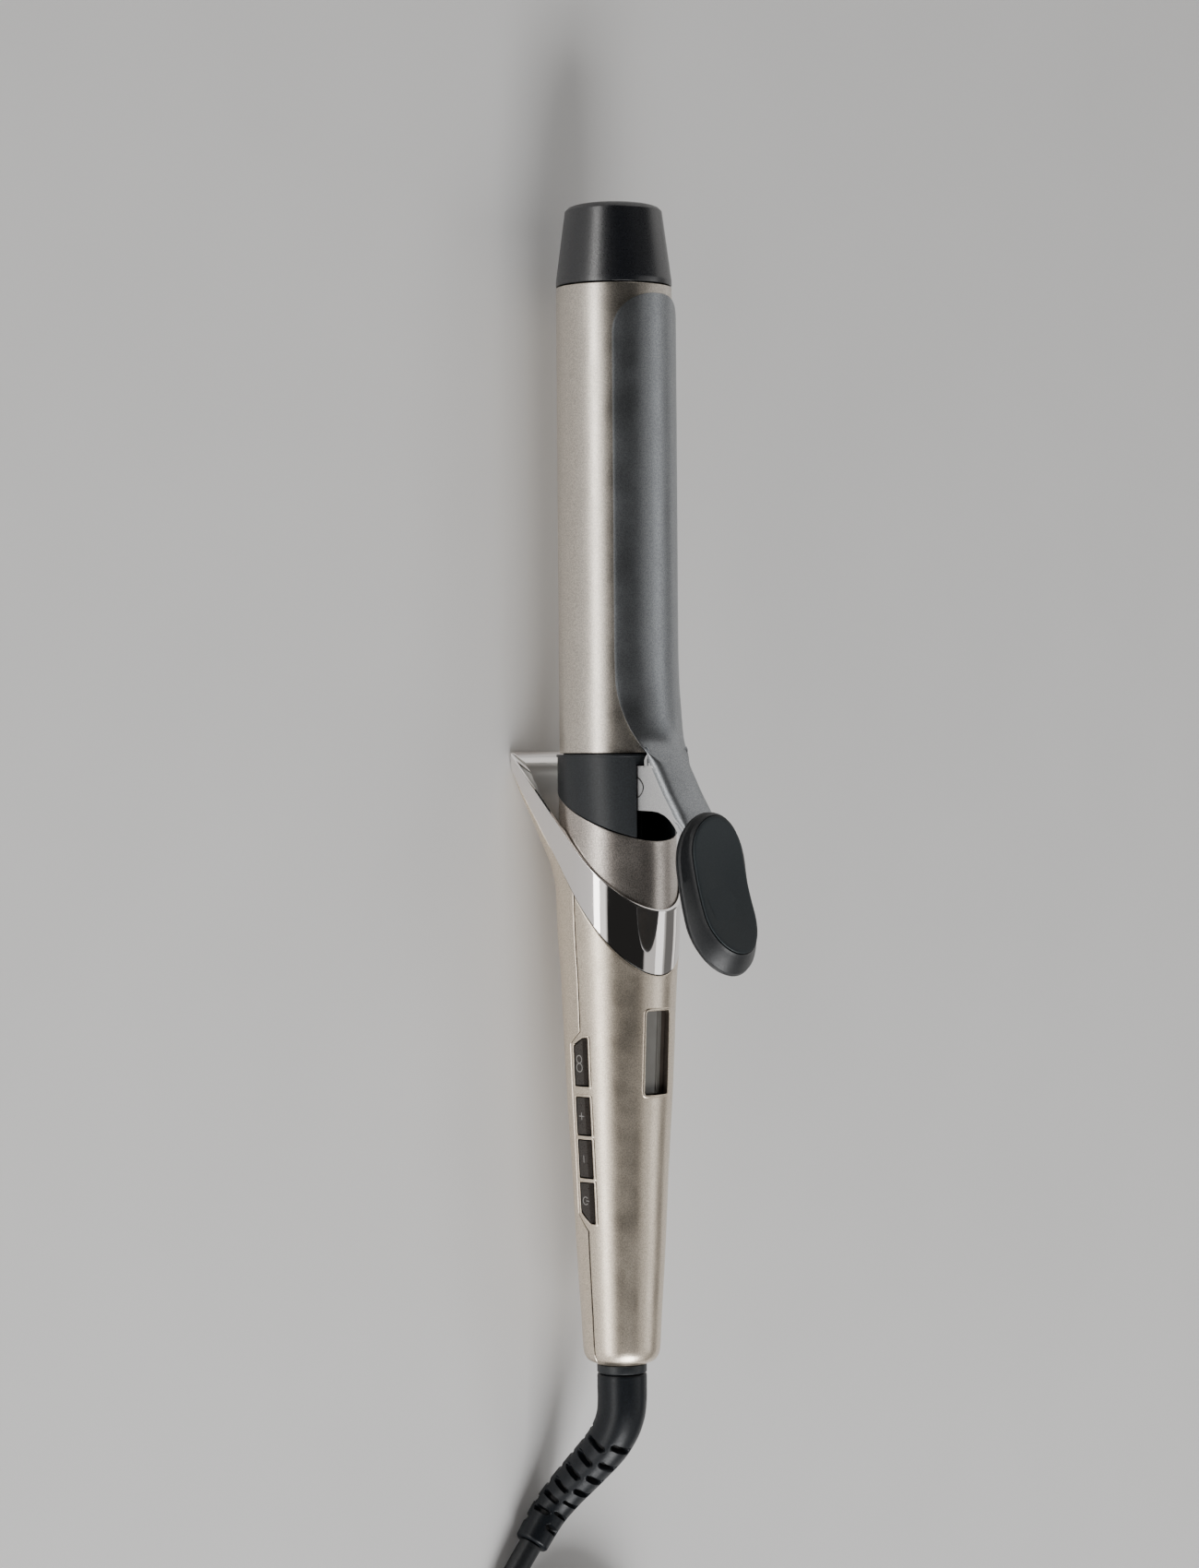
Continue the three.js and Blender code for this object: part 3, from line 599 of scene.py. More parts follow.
def cool_tip():
    side = soften([(BARREL_X - 0.1, 15.6), (BARREL_X - 0.1, BARREL_R), (-130.6, BARREL_R),
                   (-149.8, 13.42), (-150.7, 12.5)], 0.22)
    dome = smooth_line([(-150.7, 12.5, 0), (-151.25, 11, 0), (-151.7, 8.2, 0),
                        (TIP_X + 0.1, 4.4, 0), (TIP_X, 0.3, 0)], 0.8)
    profile = [(BARREL_X - 0.1, 11)] + side + [(p.x, p.y) for p in dome[1:]]
    placed(lathed("cool_tip_fine", profile, 160, degrees=28), TIP_BLACK, "black_moulding")


def cylinder(name, centre, radius, low, high, axis="z"):
    """A round cutter."""
    outline = [(centre[0] + radius * cos(a), centre[1] + radius * sin(a)) for a in turns(40)]
    return prism(name, outline, low, high, axis)


def barrel():
    x0, x1, bore = BARREL_X + 0.3, -0.3, 15.2
    tube = [(x0, bore), (x0, BARREL_R), (x1, BARREL_R), (x1, bore)]
    outline = soften(tube, 0.25, closed=True)
    long_sides = []
    for a, b in zip(outline, outline[1:] + outline[:1]):
        long_sides.append(a)
        if abs(b[0] - a[0]) > 20:
            long_sides.extend(tuple(p) for p in resampled([a, b], 9)[1:-1])
    piece = lathed("barrel_fine", long_sides, 160, wrap=True)
    carve(piece, cylinder("screw_hole", (-5, 0), 2.2, -20, -10),
          cylinder("screw_hole", (-5, 0), 2.2, 10, 20))
    placed(piece, BARREL, "barrel_silver")


def screw(name, place, axis_up, head_r, head_h, shank_r, length):
    """A cross-head screw seen at its head; axis_up is +1 where the head faces +Z."""
    profile = soften([(0, 0.01), (0, head_r), (head_h * 0.55, head_r), (head_h, head_r * 0.55)],
                     0.15)
    shank = [(-length, 0.01), (-length, shank_r), (-0.05, shank_r)]
    rings = []
    for h, r in shank + profile + [(head_h, 0.01)]:
        rings.append([(place[0] + r * cos(a), place[1] + r * sin(a), place[2] + h * axis_up)
                      for a in turns(32)])
    piece = lofted(name + "_fine", rings)
    reach, half = head_r * 0.62, head_r * 0.13
    top = place[2] + axis_up * head_h
    low, high = sorted((top - axis_up * head_h * 0.7, top + axis_up))
    for wide, tall in ((reach, half), (half, reach)):
        box = rectangle(place[0] - wide, place[0] + wide, place[1] - tall, place[1] + tall)
        carve(piece, prism("cross", box, low, high))
    placed(piece, STEEL, "steel")


# Shell screws: x, y and how far below the axis their seat lies
SHELL_SCREWS = [(68, 8, 13.6), (133, 0, 12.5)]


def screws():
    for name, side in (("barrel_screw_upper", 1), ("barrel_screw_lower", -1)):
        screw(name, (-5, 0, 15.3 * side), side, 1.9, 0.6, 1.1, 3.7)
    for i, (x, y, low) in enumerate(SHELL_SCREWS, 1):
        screw(f"shell_screw_{i}", (x, y, 2.9 - low), -1, 2.2, 1.7, 1.2, 4)


# Collar: seat, ring and chrome band

def barrel_seat():
    rings = []
    for a in turns(144):
        step = plane_x(RING_PLANE, a, lambda x: SEAT_R, -0.4)
        outline = [(SEAT_START_X, 0.2), (SEAT_START_X, 14.9), (0, 14.9), (0, SEAT_LIP_R),
                   (0.7, SEAT_LIP_R), (0.7, SEAT_R), (step, SEAT_R), (step, 14.6),
                   (SEAT_END_X, 14.6), (SEAT_END_X, 0.2)]
        rings.append([polar(x, r, a) for x, r in soften(outline, 0.2, closed=True, parts=2)])
    piece = lofted("barrel_seat_fine", rings, wrap=True)
    slot = soften(rectangle(-SLOT_HALF, SLOT_HALF, SLOT_FLOOR, 24), 0.5, closed=True)
    carve(piece, prism("slot", slot, 2.8, 40, "x"),
          cylinder("wire_bore", (0, -5.5), 4.4, -12, 60, "x"))
    placed(edged(piece, 0.12), BLACK, "black_moulding")


def inner_ring():
    rings = []
    for a in turns(180):
        top = plane_x(RING_PLANE, a, lambda x: RING_R)
        end = max(plane_x(RIM_PLANE, a, lambda x: RING_R, 3), 20.8)
        side = [(top + (end - top) * t, RING_R - 0.3 + 0.2 * t) for t in np.linspace(0.08, 1, 10)]
        wall = [(top, 15.5), (top, RING_R - 0.3), *side, (end, 15.5)]
        rings.append([polar(x, r, a) for x, r in soften(wall, 0.3, closed=True)])
    placed(lofted("inner_ring_fine", rings, wrap=True), RING, "ring_silver")


BAND_RIM_POINTS = 48
# x where the heel's hollow ends, where its liner starts, and where the shells' wall takes over
POCKET_END_X, LINER_X, TAIL_X = 20, 23, 46.2


def band_profile(angle):
    """The chrome band cut through at an angle, as (x, radius) round its outline."""
    def outer(x):
        return handle_radius(x, angle)

    front = plane_x(SHELL_PLANE, angle, outer, -0.4)

    def wall(x):
        return 0.9 + 2.5 * eased((x - front + 3.5) / 3.5)

    def inner(x):
        if x > TAIL_X:
            return outer(x) - SHELL_WALL
        pocket = handle_radius(x, angle, wall(x)) if x <= POCKET_END_X else 0
        return max(pocket, RING_ROOM_R)

    def rim_wall(x):
        return min(inner(x), outer(x) - 0.45)

    rim = plane_x(RIM_PLANE, angle, outer)
    rim_in = plane_x(RIM_PLANE, angle, rim_wall)
    rim, rim_in = max(rim, -1), max(rim_in, -1)
    outside = [(x, outer(x)) for x in np.linspace(front, rim + 0.35, 36)]
    edge = soften([(rim + 0.35, outer(rim + 0.35)), (rim, outer(rim)), (rim_in, rim_wall(rim_in)),
                   (rim_in + 0.3, rim_wall(rim_in + 0.3))], 0.3)
    end = max(LINER_X, front)
    inside = [(x, rim_wall(x)) for x in np.linspace(rim_in + 0.4, end, 60)]
    back = [(end, rim_wall(end))]
    if front < LINER_X:
        back += [(x, max(outer(x) - 2.4, rim_wall(x) + 0.3))
                 for x in np.linspace(LINER_X, front, 12)]
    back += [(front, outer(front) - 0.02)]
    return outside + edge + list(resampled(inside, 30)) + list(resampled(back, 14))[1:]


def heel_band():
    rings = [[polar(x, r, a) for x, r in band_profile(a)] for a in ring_angles()]
    band = lofted("heel_band_fine", rings, wrap=True, degrees=50)
    placed(band, CHROME, "chrome")
    count = len(rings[0])
    # The band's inner faces get the near-white material: painted reflection
    two_tone(band, BAND_INSIDE_PAINTED_REFLECTION,
             lambda face: BAND_RIM_POINTS <= min(v % count for v in face.vertices))


# Handle shells

JOG_TOP, JOG_END, JOG_SLANT = 76, 131, (3.5, 4.5)
JOG_DEPTH = 4.3
SEAM_HALF = 0.17
COLLAR_ROOM_X, COLLAR_ROOM_R = HANDLE_END_X - 2.5, 5.3


def jog(x):
    """How far below the middle the front seam runs at x, round the buttons."""
    rise = (x - JOG_TOP) / JOG_SLANT[0]
    fall = (JOG_END - x) / JOG_SLANT[1]
    return JOG_DEPTH * min(max(min(rise, fall), 0), 1)


def shell_angle(upper, u, x):
    """Angle at u, 0 to 1 across a shell: its seam runs straight behind and jogs in front."""
    r = handle_at(x)[0]
    gap = SEAM_HALF / r
    front = pi + asin(jog(x) / r)
    low, high = (gap, front - gap) if upper else (front + gap, 2 * pi - gap)
    return low + (high - low) * u


def shell(name, upper):
    marks = list(np.linspace(0, 1, 81))
    edge = 0.0035
    columns = [(0, 0.16), (edge, 0.02), (edge * 2, 0)] + [(u, 0) for u in marks[2:-2]]
    columns += [(1 - edge * 2, 0), (1 - edge, 0.02), (1, 0.16)]
    stops = sorted({*np.arange(64, 166, 1.0), 76.0, 79.5, 126.5, 131.0, 166.0, 166.9, 167.4,
                    167.8, 168.1, 168.3, HANDLE_END_X})
    rings = []
    for u, sunk in columns:
        start = SHELL_PLANE[0]
        for _ in range(40):
            a = shell_angle(upper, u, start)
            start = SHELL_PLANE[0] + SHELL_PLANE[1] * handle_radius(start, a) * sin(a)
        places = [start, start + 0.12, start + 0.3, *np.linspace(start + 0.8, 63.2, 34), *stops]
        outside, inside = [], []
        for k, x in enumerate(places):
            a = shell_angle(upper, u, x)
            r = handle_radius(x, a) - sunk - (0.2, 0.05, 0)[min(k, 2)]
            bore = COLLAR_ROOM_R if x > COLLAR_ROOM_X else handle_radius(x, a, SHELL_WALL)
            outside.append(polar(x, r, a))
            inside.append(polar(x, bore, a))
        rings.append(outside + inside[::-1])
    points, faces = skinned(rings, ends=False)
    count = len(rings[0])
    for base in (0, (len(rings) - 1) * count):
        row = list(range(base, base + count))
        faces += quads(row[:count // 2], row[::-1][:count // 2])
    return smoothed(made(name, points, faces))


def inside_shell(face):
    """Whether a face lies inside a shell or on the wall of its seam."""
    spot = (face.center - ORIGIN) / MM
    angle = atan2(spot.z, spot.y) % (2 * pi)
    deep = hypot(spot.y, spot.z) < handle_radius(spot.x, angle) - 0.45
    return deep and spot.x < HANDLE_END_X - 1


def button_outline(name, grow, corner=0.7):
    """A button's outline in (x, z), its lower corner cut where the seam slants past it."""
    x0, x1, cut0, cut1 = BUTTONS[name]
    x0, x1, h = x0 - grow, x1 + grow, BUTTON_HALF + grow
    low = [(x0 + cut0, -h), (x1 - cut1, -h)]
    high = [(x1, h), (x0, h)]
    if cut1:
        high.insert(0, (x1, CREASE_Z))
    if cut0:
        high.append((x0, CREASE_Z))
    return soften(low + high, corner, closed=True)


DISPLAY_X, DISPLAY_Z, DISPLAY_TILT = 81.9, 13.6, radians(3.2)


def display_outline(grow):
    x, y = 11.7 + grow, 4.6 + grow
    return soften(rectangle(DISPLAY_X - x, DISPLAY_X + x, -y, y), 1.3, closed=True, parts=6)


def turned_down(piece):
    """Tilts a display piece to lie along the handle's taper."""
    centre = at((DISPLAY_X, 0, DISPLAY_Z))
    turn = Matrix.Translation(centre) @ Matrix.Rotation(DISPLAY_TILT, 4, "Y")
    piece.data.transform(turn @ Matrix.Translation(-centre))
    return piece


def surround(name, outline, section, over, side):
    """A raised lip round an opening; side is the axis that the opening faces."""
    spots = around(outline, 120)
    rings = []
    for (x, v), out in zip(spots, normals(spots)):
        ring = []
        for a in turns(10):
            px, pv = x + out.x * section * cos(a), v + out.y * section * cos(a)
            r = handle_radius(px, pi / 2)
            height = sqrt(max(0.0, r * r - pv * pv)) + over + 0.55 * section * sin(a)
            ring.append((px, -height, pv) if side == "y" else (px, pv, height))
        rings.append(ring)
    piece = lofted(name, rings, wrap=True, degrees=80)
    return placed(piece, CHAMPAGNE, "champagne")


def handle_shells():
    upper = shell("handle_upper_shell_fine", True)
    lower = shell("handle_lower_shell_fine", False)
    cutters = [turned_down(prism("window", display_outline(0), DISPLAY_Z - 6, DISPLAY_Z + 6))]
    for name in BUTTONS:
        cutters.append(prism("pocket", button_outline(name, 0.3), -20, -8.6, "y"))
    carve(upper, *cutters)
    carve(lower, *(cylinder("screw_room", (x, y), 2.5, -30, 3.2 - low)
                   for x, y, low in SHELL_SCREWS))
    for piece in (upper, lower):
        placed(piece, CHAMPAGNE, "champagne")
        two_tone(piece, SHELL_INSIDE, inside_shell)
    for name in BUTTONS:
        surround(name.replace("button", "surround"), button_outline(name, 0.62), 0.4, 0.03, "y")
    surround("display_surround", display_outline(0.25), 0.42, 0.0, "z")


# Display

def display():
    """The smoked window: a broad pane, a bright step along it and a darker strip behind."""
    level = DISPLAY_Z - 0.15
    section = [(-4.4, -1.2), (4.4, -1.2), (4.4, -0.75), (1.55, -0.35), (1.3, 0.1), (1.0, 0.15),
               (0.8, -0.2), (-4.4, -0.2)]
    x0, x1 = DISPLAY_X - 11.5, DISPLAY_X + 11.5
    outline = [(y, level + z) for y, z in soften(section, 0.12, closed=True, parts=2)]
    rings = [[(x, y, z) for y, z in outline] for x in (x0, x0 + 0.2, x1 - 0.2, x1)]
    pane = turned_down(lofted("display_lens_fine", rings, degrees=30))
    placed(pane, LENS, "display_lens")
    strip = [(2.9, -0.48), (4.35, -0.68), (4.35, -0.62), (2.9, -0.42)]
    rings = [[(x, y, level + z) for y, z in strip] for x in (x0 + 0.3, x1 - 0.3)]
    shade = turned_down(lofted("display_shade", rings, degrees=30))
    placed(shade, LENS_DARK, "display_lens")


# Buttons

def on_button(x, z, lift=0.0):
    """The point over (x, z) on a button's two-faceted face, or so far above it."""
    fall = 0.8 * max(0.0, z - CREASE_Z) + 0.06 * max(0.0, CREASE_Z - z)
    return (x, -(handle_radius(x, pi / 2) + 0.12 - fall + lift), z)


def button(name):
    outline = button_outline(name, 0, 0.6)
    levels = [(0, -2.4), (0, -0.35), (0.07, -0.12), (0.25, 0)]
    x0, x1 = BUTTONS[name][:2]
    middle, half = (x0 + x1) / 2, (x1 - x0) / 2
    rings = []
    for inset, lift in levels:
        rings.append([on_button(middle + (x - middle) * (1 - inset / half),
                                z * (1 - inset / BUTTON_HALF), lift) for x, z in outline])
    piece = made(name + "_fine", *skinned(rings))
    shape = bmesh.new()
    shape.from_mesh(piece.data)
    parts = list(shape.verts) + list(shape.edges) + list(shape.faces)
    bmesh.ops.bisect_plane(shape, geom=parts, plane_co=at((0, 0, CREASE_Z)), plane_no=(0, 0, 1))
    top = at(on_button(x1, CREASE_Z, -0.5)).y
    for vertex in shape.verts:
        spot = (vertex.co - ORIGIN) / MM
        if abs(spot.z - CREASE_Z) < 1e-3 and vertex.co.y < top:
            vertex.co.y = at(on_button(spot.x, spot.z)).y
    bmesh.ops.triangulate(shape, faces=[f for f in shape.faces if len(f.verts) > 4])
    shape.to_mesh(piece.data)
    shape.free()
    smoothed(piece, 20)
    placed(edged(piece, 0.05), BUTTON, "button_gloss", name)


PRINT_WIDTH = 0.24
PRINT_LOW, PRINT_HIGH = -0.05, 0.03


def ribbon(word, paths):
    """A thin raised print following paths in (x, z) on a button's face."""
    points, faces = [], []
    for path in paths:
        rings = []
        for i, (x, z) in enumerate(path):
            out = outward(path[max(i - 1, 0)], path[min(i + 1, len(path) - 1)]) * PRINT_WIDTH / 2
            ring = []
            for side, rise in ((-1, PRINT_LOW), (-1, PRINT_HIGH), (1, PRINT_HIGH), (1, PRINT_LOW)):
                ring.append(on_button(x + out.x * side, z + out.y * side, rise))
            rings.append(ring)
        more, sides = skinned(rings)
        faces += [tuple(len(points) + v for v in face) for face in sides]
        points += more
    placed(made("icon_" + word, points, faces), ICON, "button_gloss", "button_" + word)


def circle(x, z, r, start=0, end=360):
    return [(x + r * cos(a), z + r * sin(a)) for a in np.radians(np.linspace(start, end, 37))]


def icons():
    mode, plus, minus, power = ((x0 + x1) / 2 for x0, x1, _, _ in BUTTONS.values())
    z = -0.55
    x = mode + 0.4
    ribbon("mode", [circle(x - 1.15, z, 1.05), circle(x + 1.15, z, 1.15)])
    ribbon("plus", [[(plus - 1, z), (plus + 1, z)], [(plus, z - 1), (plus, z + 1)]])
    ribbon("minus", [[(minus - 1, z), (minus + 1, z)]])
    x = power - 0.6
    ribbon("power", [circle(x, z, 1.05, 130, 410), [(x, z + 0.25), (x, z + 1.45)]])


# Clip and thumb pad

clip_at = curve_of(CLIP_STATIONS)
FLANGE_X = (-1.5, 22.8)
FLANGE_HEEL = [(9, 3.2), (12.2, 3.2), (14.2, 4.4), (15.4, 6.8)]
FLANGE_RISE = [(15.42, 17), (15.5, 20), (15.8, 22.5), (16.8, 25.2), (18, 26.9), (19.5, 28.4),
               (21, 29.6), (22.8, 30.8)]
FOLD_PARTS = 10
FLAT_SIDE = 0.985


def has_flange(x):
    return FLANGE_X[0] - 0.01 <= x <= FLANGE_X[1] + 0.01


def flange_foot(x):
    """Height of the flange's lower edge at x."""
    if x <= 3.2:
        return 17.4
    if x <= PIVOT_X:
        return PIVOT_Z - sqrt(max(0.0, 5.8 ** 2 - (x - PIVOT_X) ** 2))
    table = FLANGE_HEEL if x <= 15.4 else FLANGE_RISE
    return float(np.interp(x, [row[0] for row in table], [row[1] for row in table]))


def clip_rows():
    """x of the rows, each with its half-width: an elliptic tip, then the stations."""
    rows = []
    reach, power = 11.5, 2 / 2.4
    for i in range(24):
        t = radians(2 + 88 * i / 23)
        x = CLIP_TIP_X + reach * (1 - cos(t) ** power)
        rows.append((x, CLIP_HALF * sin(t) ** power))
    stops = [*np.arange(-112, -32, 4.0), *np.arange(-30, -1.6, 0.8),
             *np.linspace(FLANGE_X[0], 3.2, 7), *np.linspace(3.22, 15.4, 21),
             *(15.42 + (FLANGE_X[1] - 15.42) * np.linspace(0, 1, 18) ** 2),
             *np.linspace(23.8, 44, 18)]
    for x in stops:
        rows.append((x, clip_at(x)[1] - (fold_size(x) if has_flange(x) else 0)))
    return rows


def fold_size(x):
    """Radius of the fold between the lever's arch and its flanges, which dies out at their ends."""
    return max(0.15, 3.2 * eased((x - FLANGE_X[0]) / 5) * eased((FLANGE_X[1] - x) / 6))


def fold_points(x, edge_y, edge_z):
    """The flange's outer face from the arch's edge down: a rounded fold, then straight."""
    foot = flange_foot(x)
    size = fold_size(x)
    begun = eased((x - FLANGE_X[0]) / 3)
    foot = foot if begun == 1 else (edge_z - 0.45) * (1 - begun) + foot * begun
    out_y = edge_y + size
    line = []
    for k in range(1, FOLD_PARTS + 1):
        t = k / FOLD_PARTS
        drop = 0.5 * t * (1 - t) + 1.25 * t * t
        line.append((out_y - size * (1 - t) ** 2, edge_z - size * drop))
    low = line[-1][1]
    for k in range(1, FOLD_PARTS + 1):
        t = k / FOLD_PARTS
        line.append((out_y + (FLANGE_Y - out_y) * min(1, 3 * t), low + (foot - low) * t))
    return line


def clip():
    points, faces = [], []
    width = 33
    grid, wings = [], []
    for x, half in clip_rows():
        ridge, _, arch = clip_at(max(x, CLIP_TIP_X))
        edge = asin(min(0.98, half / arch))
        row = []
        for j in range(width):
            a = edge * (2 * j / (width - 1) - 1)
            row.append(len(points))
            points.append((x, arch * sin(a), ridge - arch * (1 - cos(a))))
        grid.append(row)
        wing = None
        if has_flange(x):
            wing = []
            for side, corner in ((-1, row[0]), (1, row[-1])):
                column = [corner]
                for y, z in fold_points(x, abs(points[corner][1]), points[corner][2]):
                    column.append(len(points))
                    points.append((x, y * side, z))
                wing.append(column)
        wings.append(wing)
    for i in range(len(grid) - 1):
        for j in range(width - 1):
            faces.append((grid[i][j], grid[i + 1][j], grid[i + 1][j + 1], grid[i][j + 1]))
        if wings[i] and wings[i + 1]:
            (left, right), (next_left, next_right) = wings[i], wings[i + 1]
            faces += quads(left, next_left) + quads(next_right, right)
    piece = made("clip_fine", points, faces, turn_out=False)
    thick = piece.modifiers.new("sheet", "SOLIDIFY")
    thick.thickness = CLIP_SHEET * MM
    thick.offset = -1
    smoothed(piece, 60)
    placed(edged(piece, 0.2, 3, 60), CLIP, "clip_silver", "clip")
    # The flat flange sides get the lighter copy of the clip satin: painted light
    two_tone(piece, CLIP_SIDE_PAINTED_LIGHT, lambda face: abs(face.normal.y) > FLAT_SIDE)


def coining():
    """The small rounded triangle pressed into the flange beside the pivot, drawn as a thin
    near-black line standing on the flange: painted shade of the groove.
    """
    corners = [(6, 15), (9, 17.6), (12.2, 15.2), (11, 11.8), (7, 11.8)]
    outline = soften(corners, 2.4, closed=True, parts=8)
    outline = resampled(outline + outline[:1], 81)
    for side, word in ((-1, "front"), (1, "rear")):
        line = [Vector((x, side * (FLANGE_Y - 0.02), z)) for x, z in outline]
        rings = tube_rings(line, lambda i: 0.2, 8)
        placed(lofted(f"clip_coining_shade_line_{word}", rings), FLANGE_GROOVE_SHADE, "clip_silver", "clip")


def pad_under(x):
    t = (x - 15.6) / 44.4
    return 33 - t + 10.6 * t * t


def pad_face(x):
    t = (x - 16.5) / 37
    return 37.6 + 0.5 * t + 9.5 * t * t


def pad_ring(rule, x0, x1, half, above):
    """A stadium from x0 to x1, drawn at the height that a rule gives and so far above it."""
    round_x = half * 1.15
    near, far = x0 + round_x, x1 - round_x
    ring = []
    for middle, other, start in ((far, near, -pi / 2), (near, far, pi / 2)):
        for i in range(33):
            a = start + pi * i / 32
            x = middle + round_x * cos(a)
            ring.append((x, half * sin(a), rule(x) + above))
        side = ring[-1][1]
        for k in range(1, 12):
            x = middle + (other - middle) * k / 12
            ring.append((x, side, rule(x) + above))
    return ring


# Rings of the pad: x of its two ends, half-width, and height above pad_under or pad_face
PAD_UNDER_RINGS = [
    (17.8, 57.6, 10.8, 0.1), (17.2, 58.4, 11.6, 0.1), (16.4, 59.3, 12.4, 0.4),
    (16, 59.8, 12.8, 0.9), (15.8, 59.9, 12.85, 1.35), (15.95, 59.7, 12.7, 1.5),
    (15.95, 59.6, 12.7, 1.65), (15.8, 59.6, 12.8, 1.8), (15.85, 59.2, 12.6, 2.5),
]
PAD_RIM_RINGS = [
    (16.15, 55.0, 10.55, -1.7), (16.3, 54.3, 10.1, -0.9), (16.4, 54.1, 9.95, -0.65),
    (16.7, 53.8, 9.65, -0.62),
]
PAD_FACE_RINGS = [
    (16.85, 53.6, 9.5, -0.9), (16.8, 53.65, 9.55, -0.35), (16.9, 53.5, 9.45, -0.15),
    (17.15, 53.2, 9.2, -0.03),
]
PAD_CLOSE = 17


def closing(ring, t, above):
    """A pad ring drawn in towards the pad's middle, t from 0 to 1."""
    x0, x1, half, _ = ring
    return pad_ring(pad_face, x0 + PAD_CLOSE * t, x1 - PAD_CLOSE * t, half * (1 - t), above)


def thumb_pad():
    base = [pad_ring(pad_under, *row) for row in PAD_UNDER_RINGS]
    base += [pad_ring(pad_face, *row) for row in PAD_RIM_RINGS]
    for t in (0.06, 0.2, 0.35, 0.5, 0.65, 0.8, 0.92, 0.99):
        base.append(closing(PAD_RIM_RINGS[-1], t, -1.2))
    placed(lofted("thumb_pad_base_fine", base, degrees=40), PAD_SIDE, "black_moulding", "clip")
    face = [pad_ring(pad_face, *row) for row in PAD_FACE_RINGS]
    for k in range(1, 22):
        t = 0.99 * k / 21
        face.append(closing(PAD_FACE_RINGS[-1], t, -0.03 - 0.12 * (1 - cos(pi * t))))
    placed(lofted("thumb_pad_face_fine", face, degrees=40), PAD, "pad_soft_touch", "clip")


# Cord entry and boot

def swivel_collar():
    profile = [(150.6, 0.05), (150.6, 3.6), (158, 3.6), (158, 7.6), (161, 7.6), (161, 4.9),
               (168.7, 4.9), (168.7, 6.9), (170.9, 6.9), (170.9, 6.4), (171.2, 6.4),
               (171.2, 0.05)]
    collar = lathed("swivel_collar_fine", soften(profile, 0.15, parts=3), 96)
    return placed(collar, BLACK, "black_moulding", "cord_swivel")


SLOT_ROWS, SLOT_PITCH, SLOT_WIDTH, SLOT_DEPTH = 5, 5.6, 1.75, 2.2
FIRST_SLOT_X, LAST_SLOT = 189.3, 4.5
SLOT_STAGGER, SLOT_REACH, BOOT_R = 0.35, 2.35, 6


def boot_slot(distance, angle, start, end):
    """How deep the boot is cut at a distance along it: staggered rows of slots round it."""
    deepest = 0.0
    for row in range(SLOT_ROWS):
        shift = SLOT_PITCH * (SLOT_STAGGER * row % 1)
        centre_angle = 2 * pi * row / SLOT_ROWS + 0.32
        turn = (angle - centre_angle + pi) % (2 * pi) - pi
        first = start + shift
        number = round((distance - first) / SLOT_PITCH)
        centre = first + number * SLOT_PITCH
        if number < 0 or centre > end:
            continue
        along = abs(distance - centre) / (SLOT_WIDTH / 2)
        reach = max(0.0, abs(turn) * BOOT_R - SLOT_REACH) / (SLOT_WIDTH / 2)
        inside = 1 - hypot(along, reach)
        deepest = max(deepest, min(1, max(0, inside * 3.2 + 0.25)))
    return SLOT_DEPTH * eased(deepest)


def cord_boot():
    spots = smooth_line([row[:3] for row in BOOT_LINE], 0.2)
    length = sum((b - a).length for a, b in zip(spots, spots[1:]))
    count = round(length / 0.24)
    line = [Vector(p) for p in resampled([tuple(s) for s in spots], count)]
    xs, _, _, radii = zip(*BOOT_LINE)
    radius = [float(np.interp(p.x, xs, radii)) for p in line]
    step = length / (count - 1)
    start = next(i for i, p in enumerate(line) if p.x > FIRST_SLOT_X) * step
    end = length - LAST_SLOT

    def depth(i, angle):
        distance = i * step
        ends = 0.15 * max(0, 1 - distance / 0.4) + 0.4 * max(0, 1 - (length - distance) / 0.5)
        return boot_slot(distance, angle, start, end) + ends

    sides = 120
    boot = lofted("cord_boot_fine", tube_rings(line, lambda i: radius[i], sides, depth),
                  degrees=70)
    placed(boot, BOOT, "boot_rubber", "cord_swivel")

    # Faces deep in the slots get the near-black rubber: painted shade
    def in_shaded_slot(face):
        cuts = [boot_slot(v // sides * step, 2 * pi * (v % sides) / sides, start, end)
                for v in face.vertices]
        return len(cuts) == 4 and min(cuts) > 0.35 * SLOT_DEPTH

    two_tone(boot, BOOT_SLOT_SHADE, in_shaded_slot)
    return boot


# Cord, hank, tie and plug

BLEND_START, BLEND_END = (219, 0, 0), (235, 0, 0)
FOLD_OUTER, FOLD_INNER = 26, 19.5
WAIST_OUTER, WAIST_INNER = 9.75, 3.25
LAYER_LOW, LAYER_HIGH = SURFACE_Z + 1.3 + CORD_R, SURFACE_Z + 1.3 + 3 * CORD_R


def hank_run(first, last, side, fold, waist, level):
    """A run of the hank from one end to the other, drawn in at its waist."""
    points = []
    for t in np.linspace(first, last, 13):
        spread = waist + (fold - waist) * (0.5 + 0.5 * cos(2 * pi * t))
        points.append((HANK_X + HANK_RUN * t, HANK_Y + side * spread, level))
    return points


def hank_fold(x, start, fold, next_fold, level, next_level):
    """Half a turn at the hank's end, changing its radius and level on the way."""
    points = []
    for i in range(1, 12):
        a, t = start + pi * i / 12, eased(i / 12)
        r = fold + (next_fold - fold) * t
        points.append((x + r * cos(a), HANK_Y + r * sin(a), level + (next_level - level) * t))
    return points


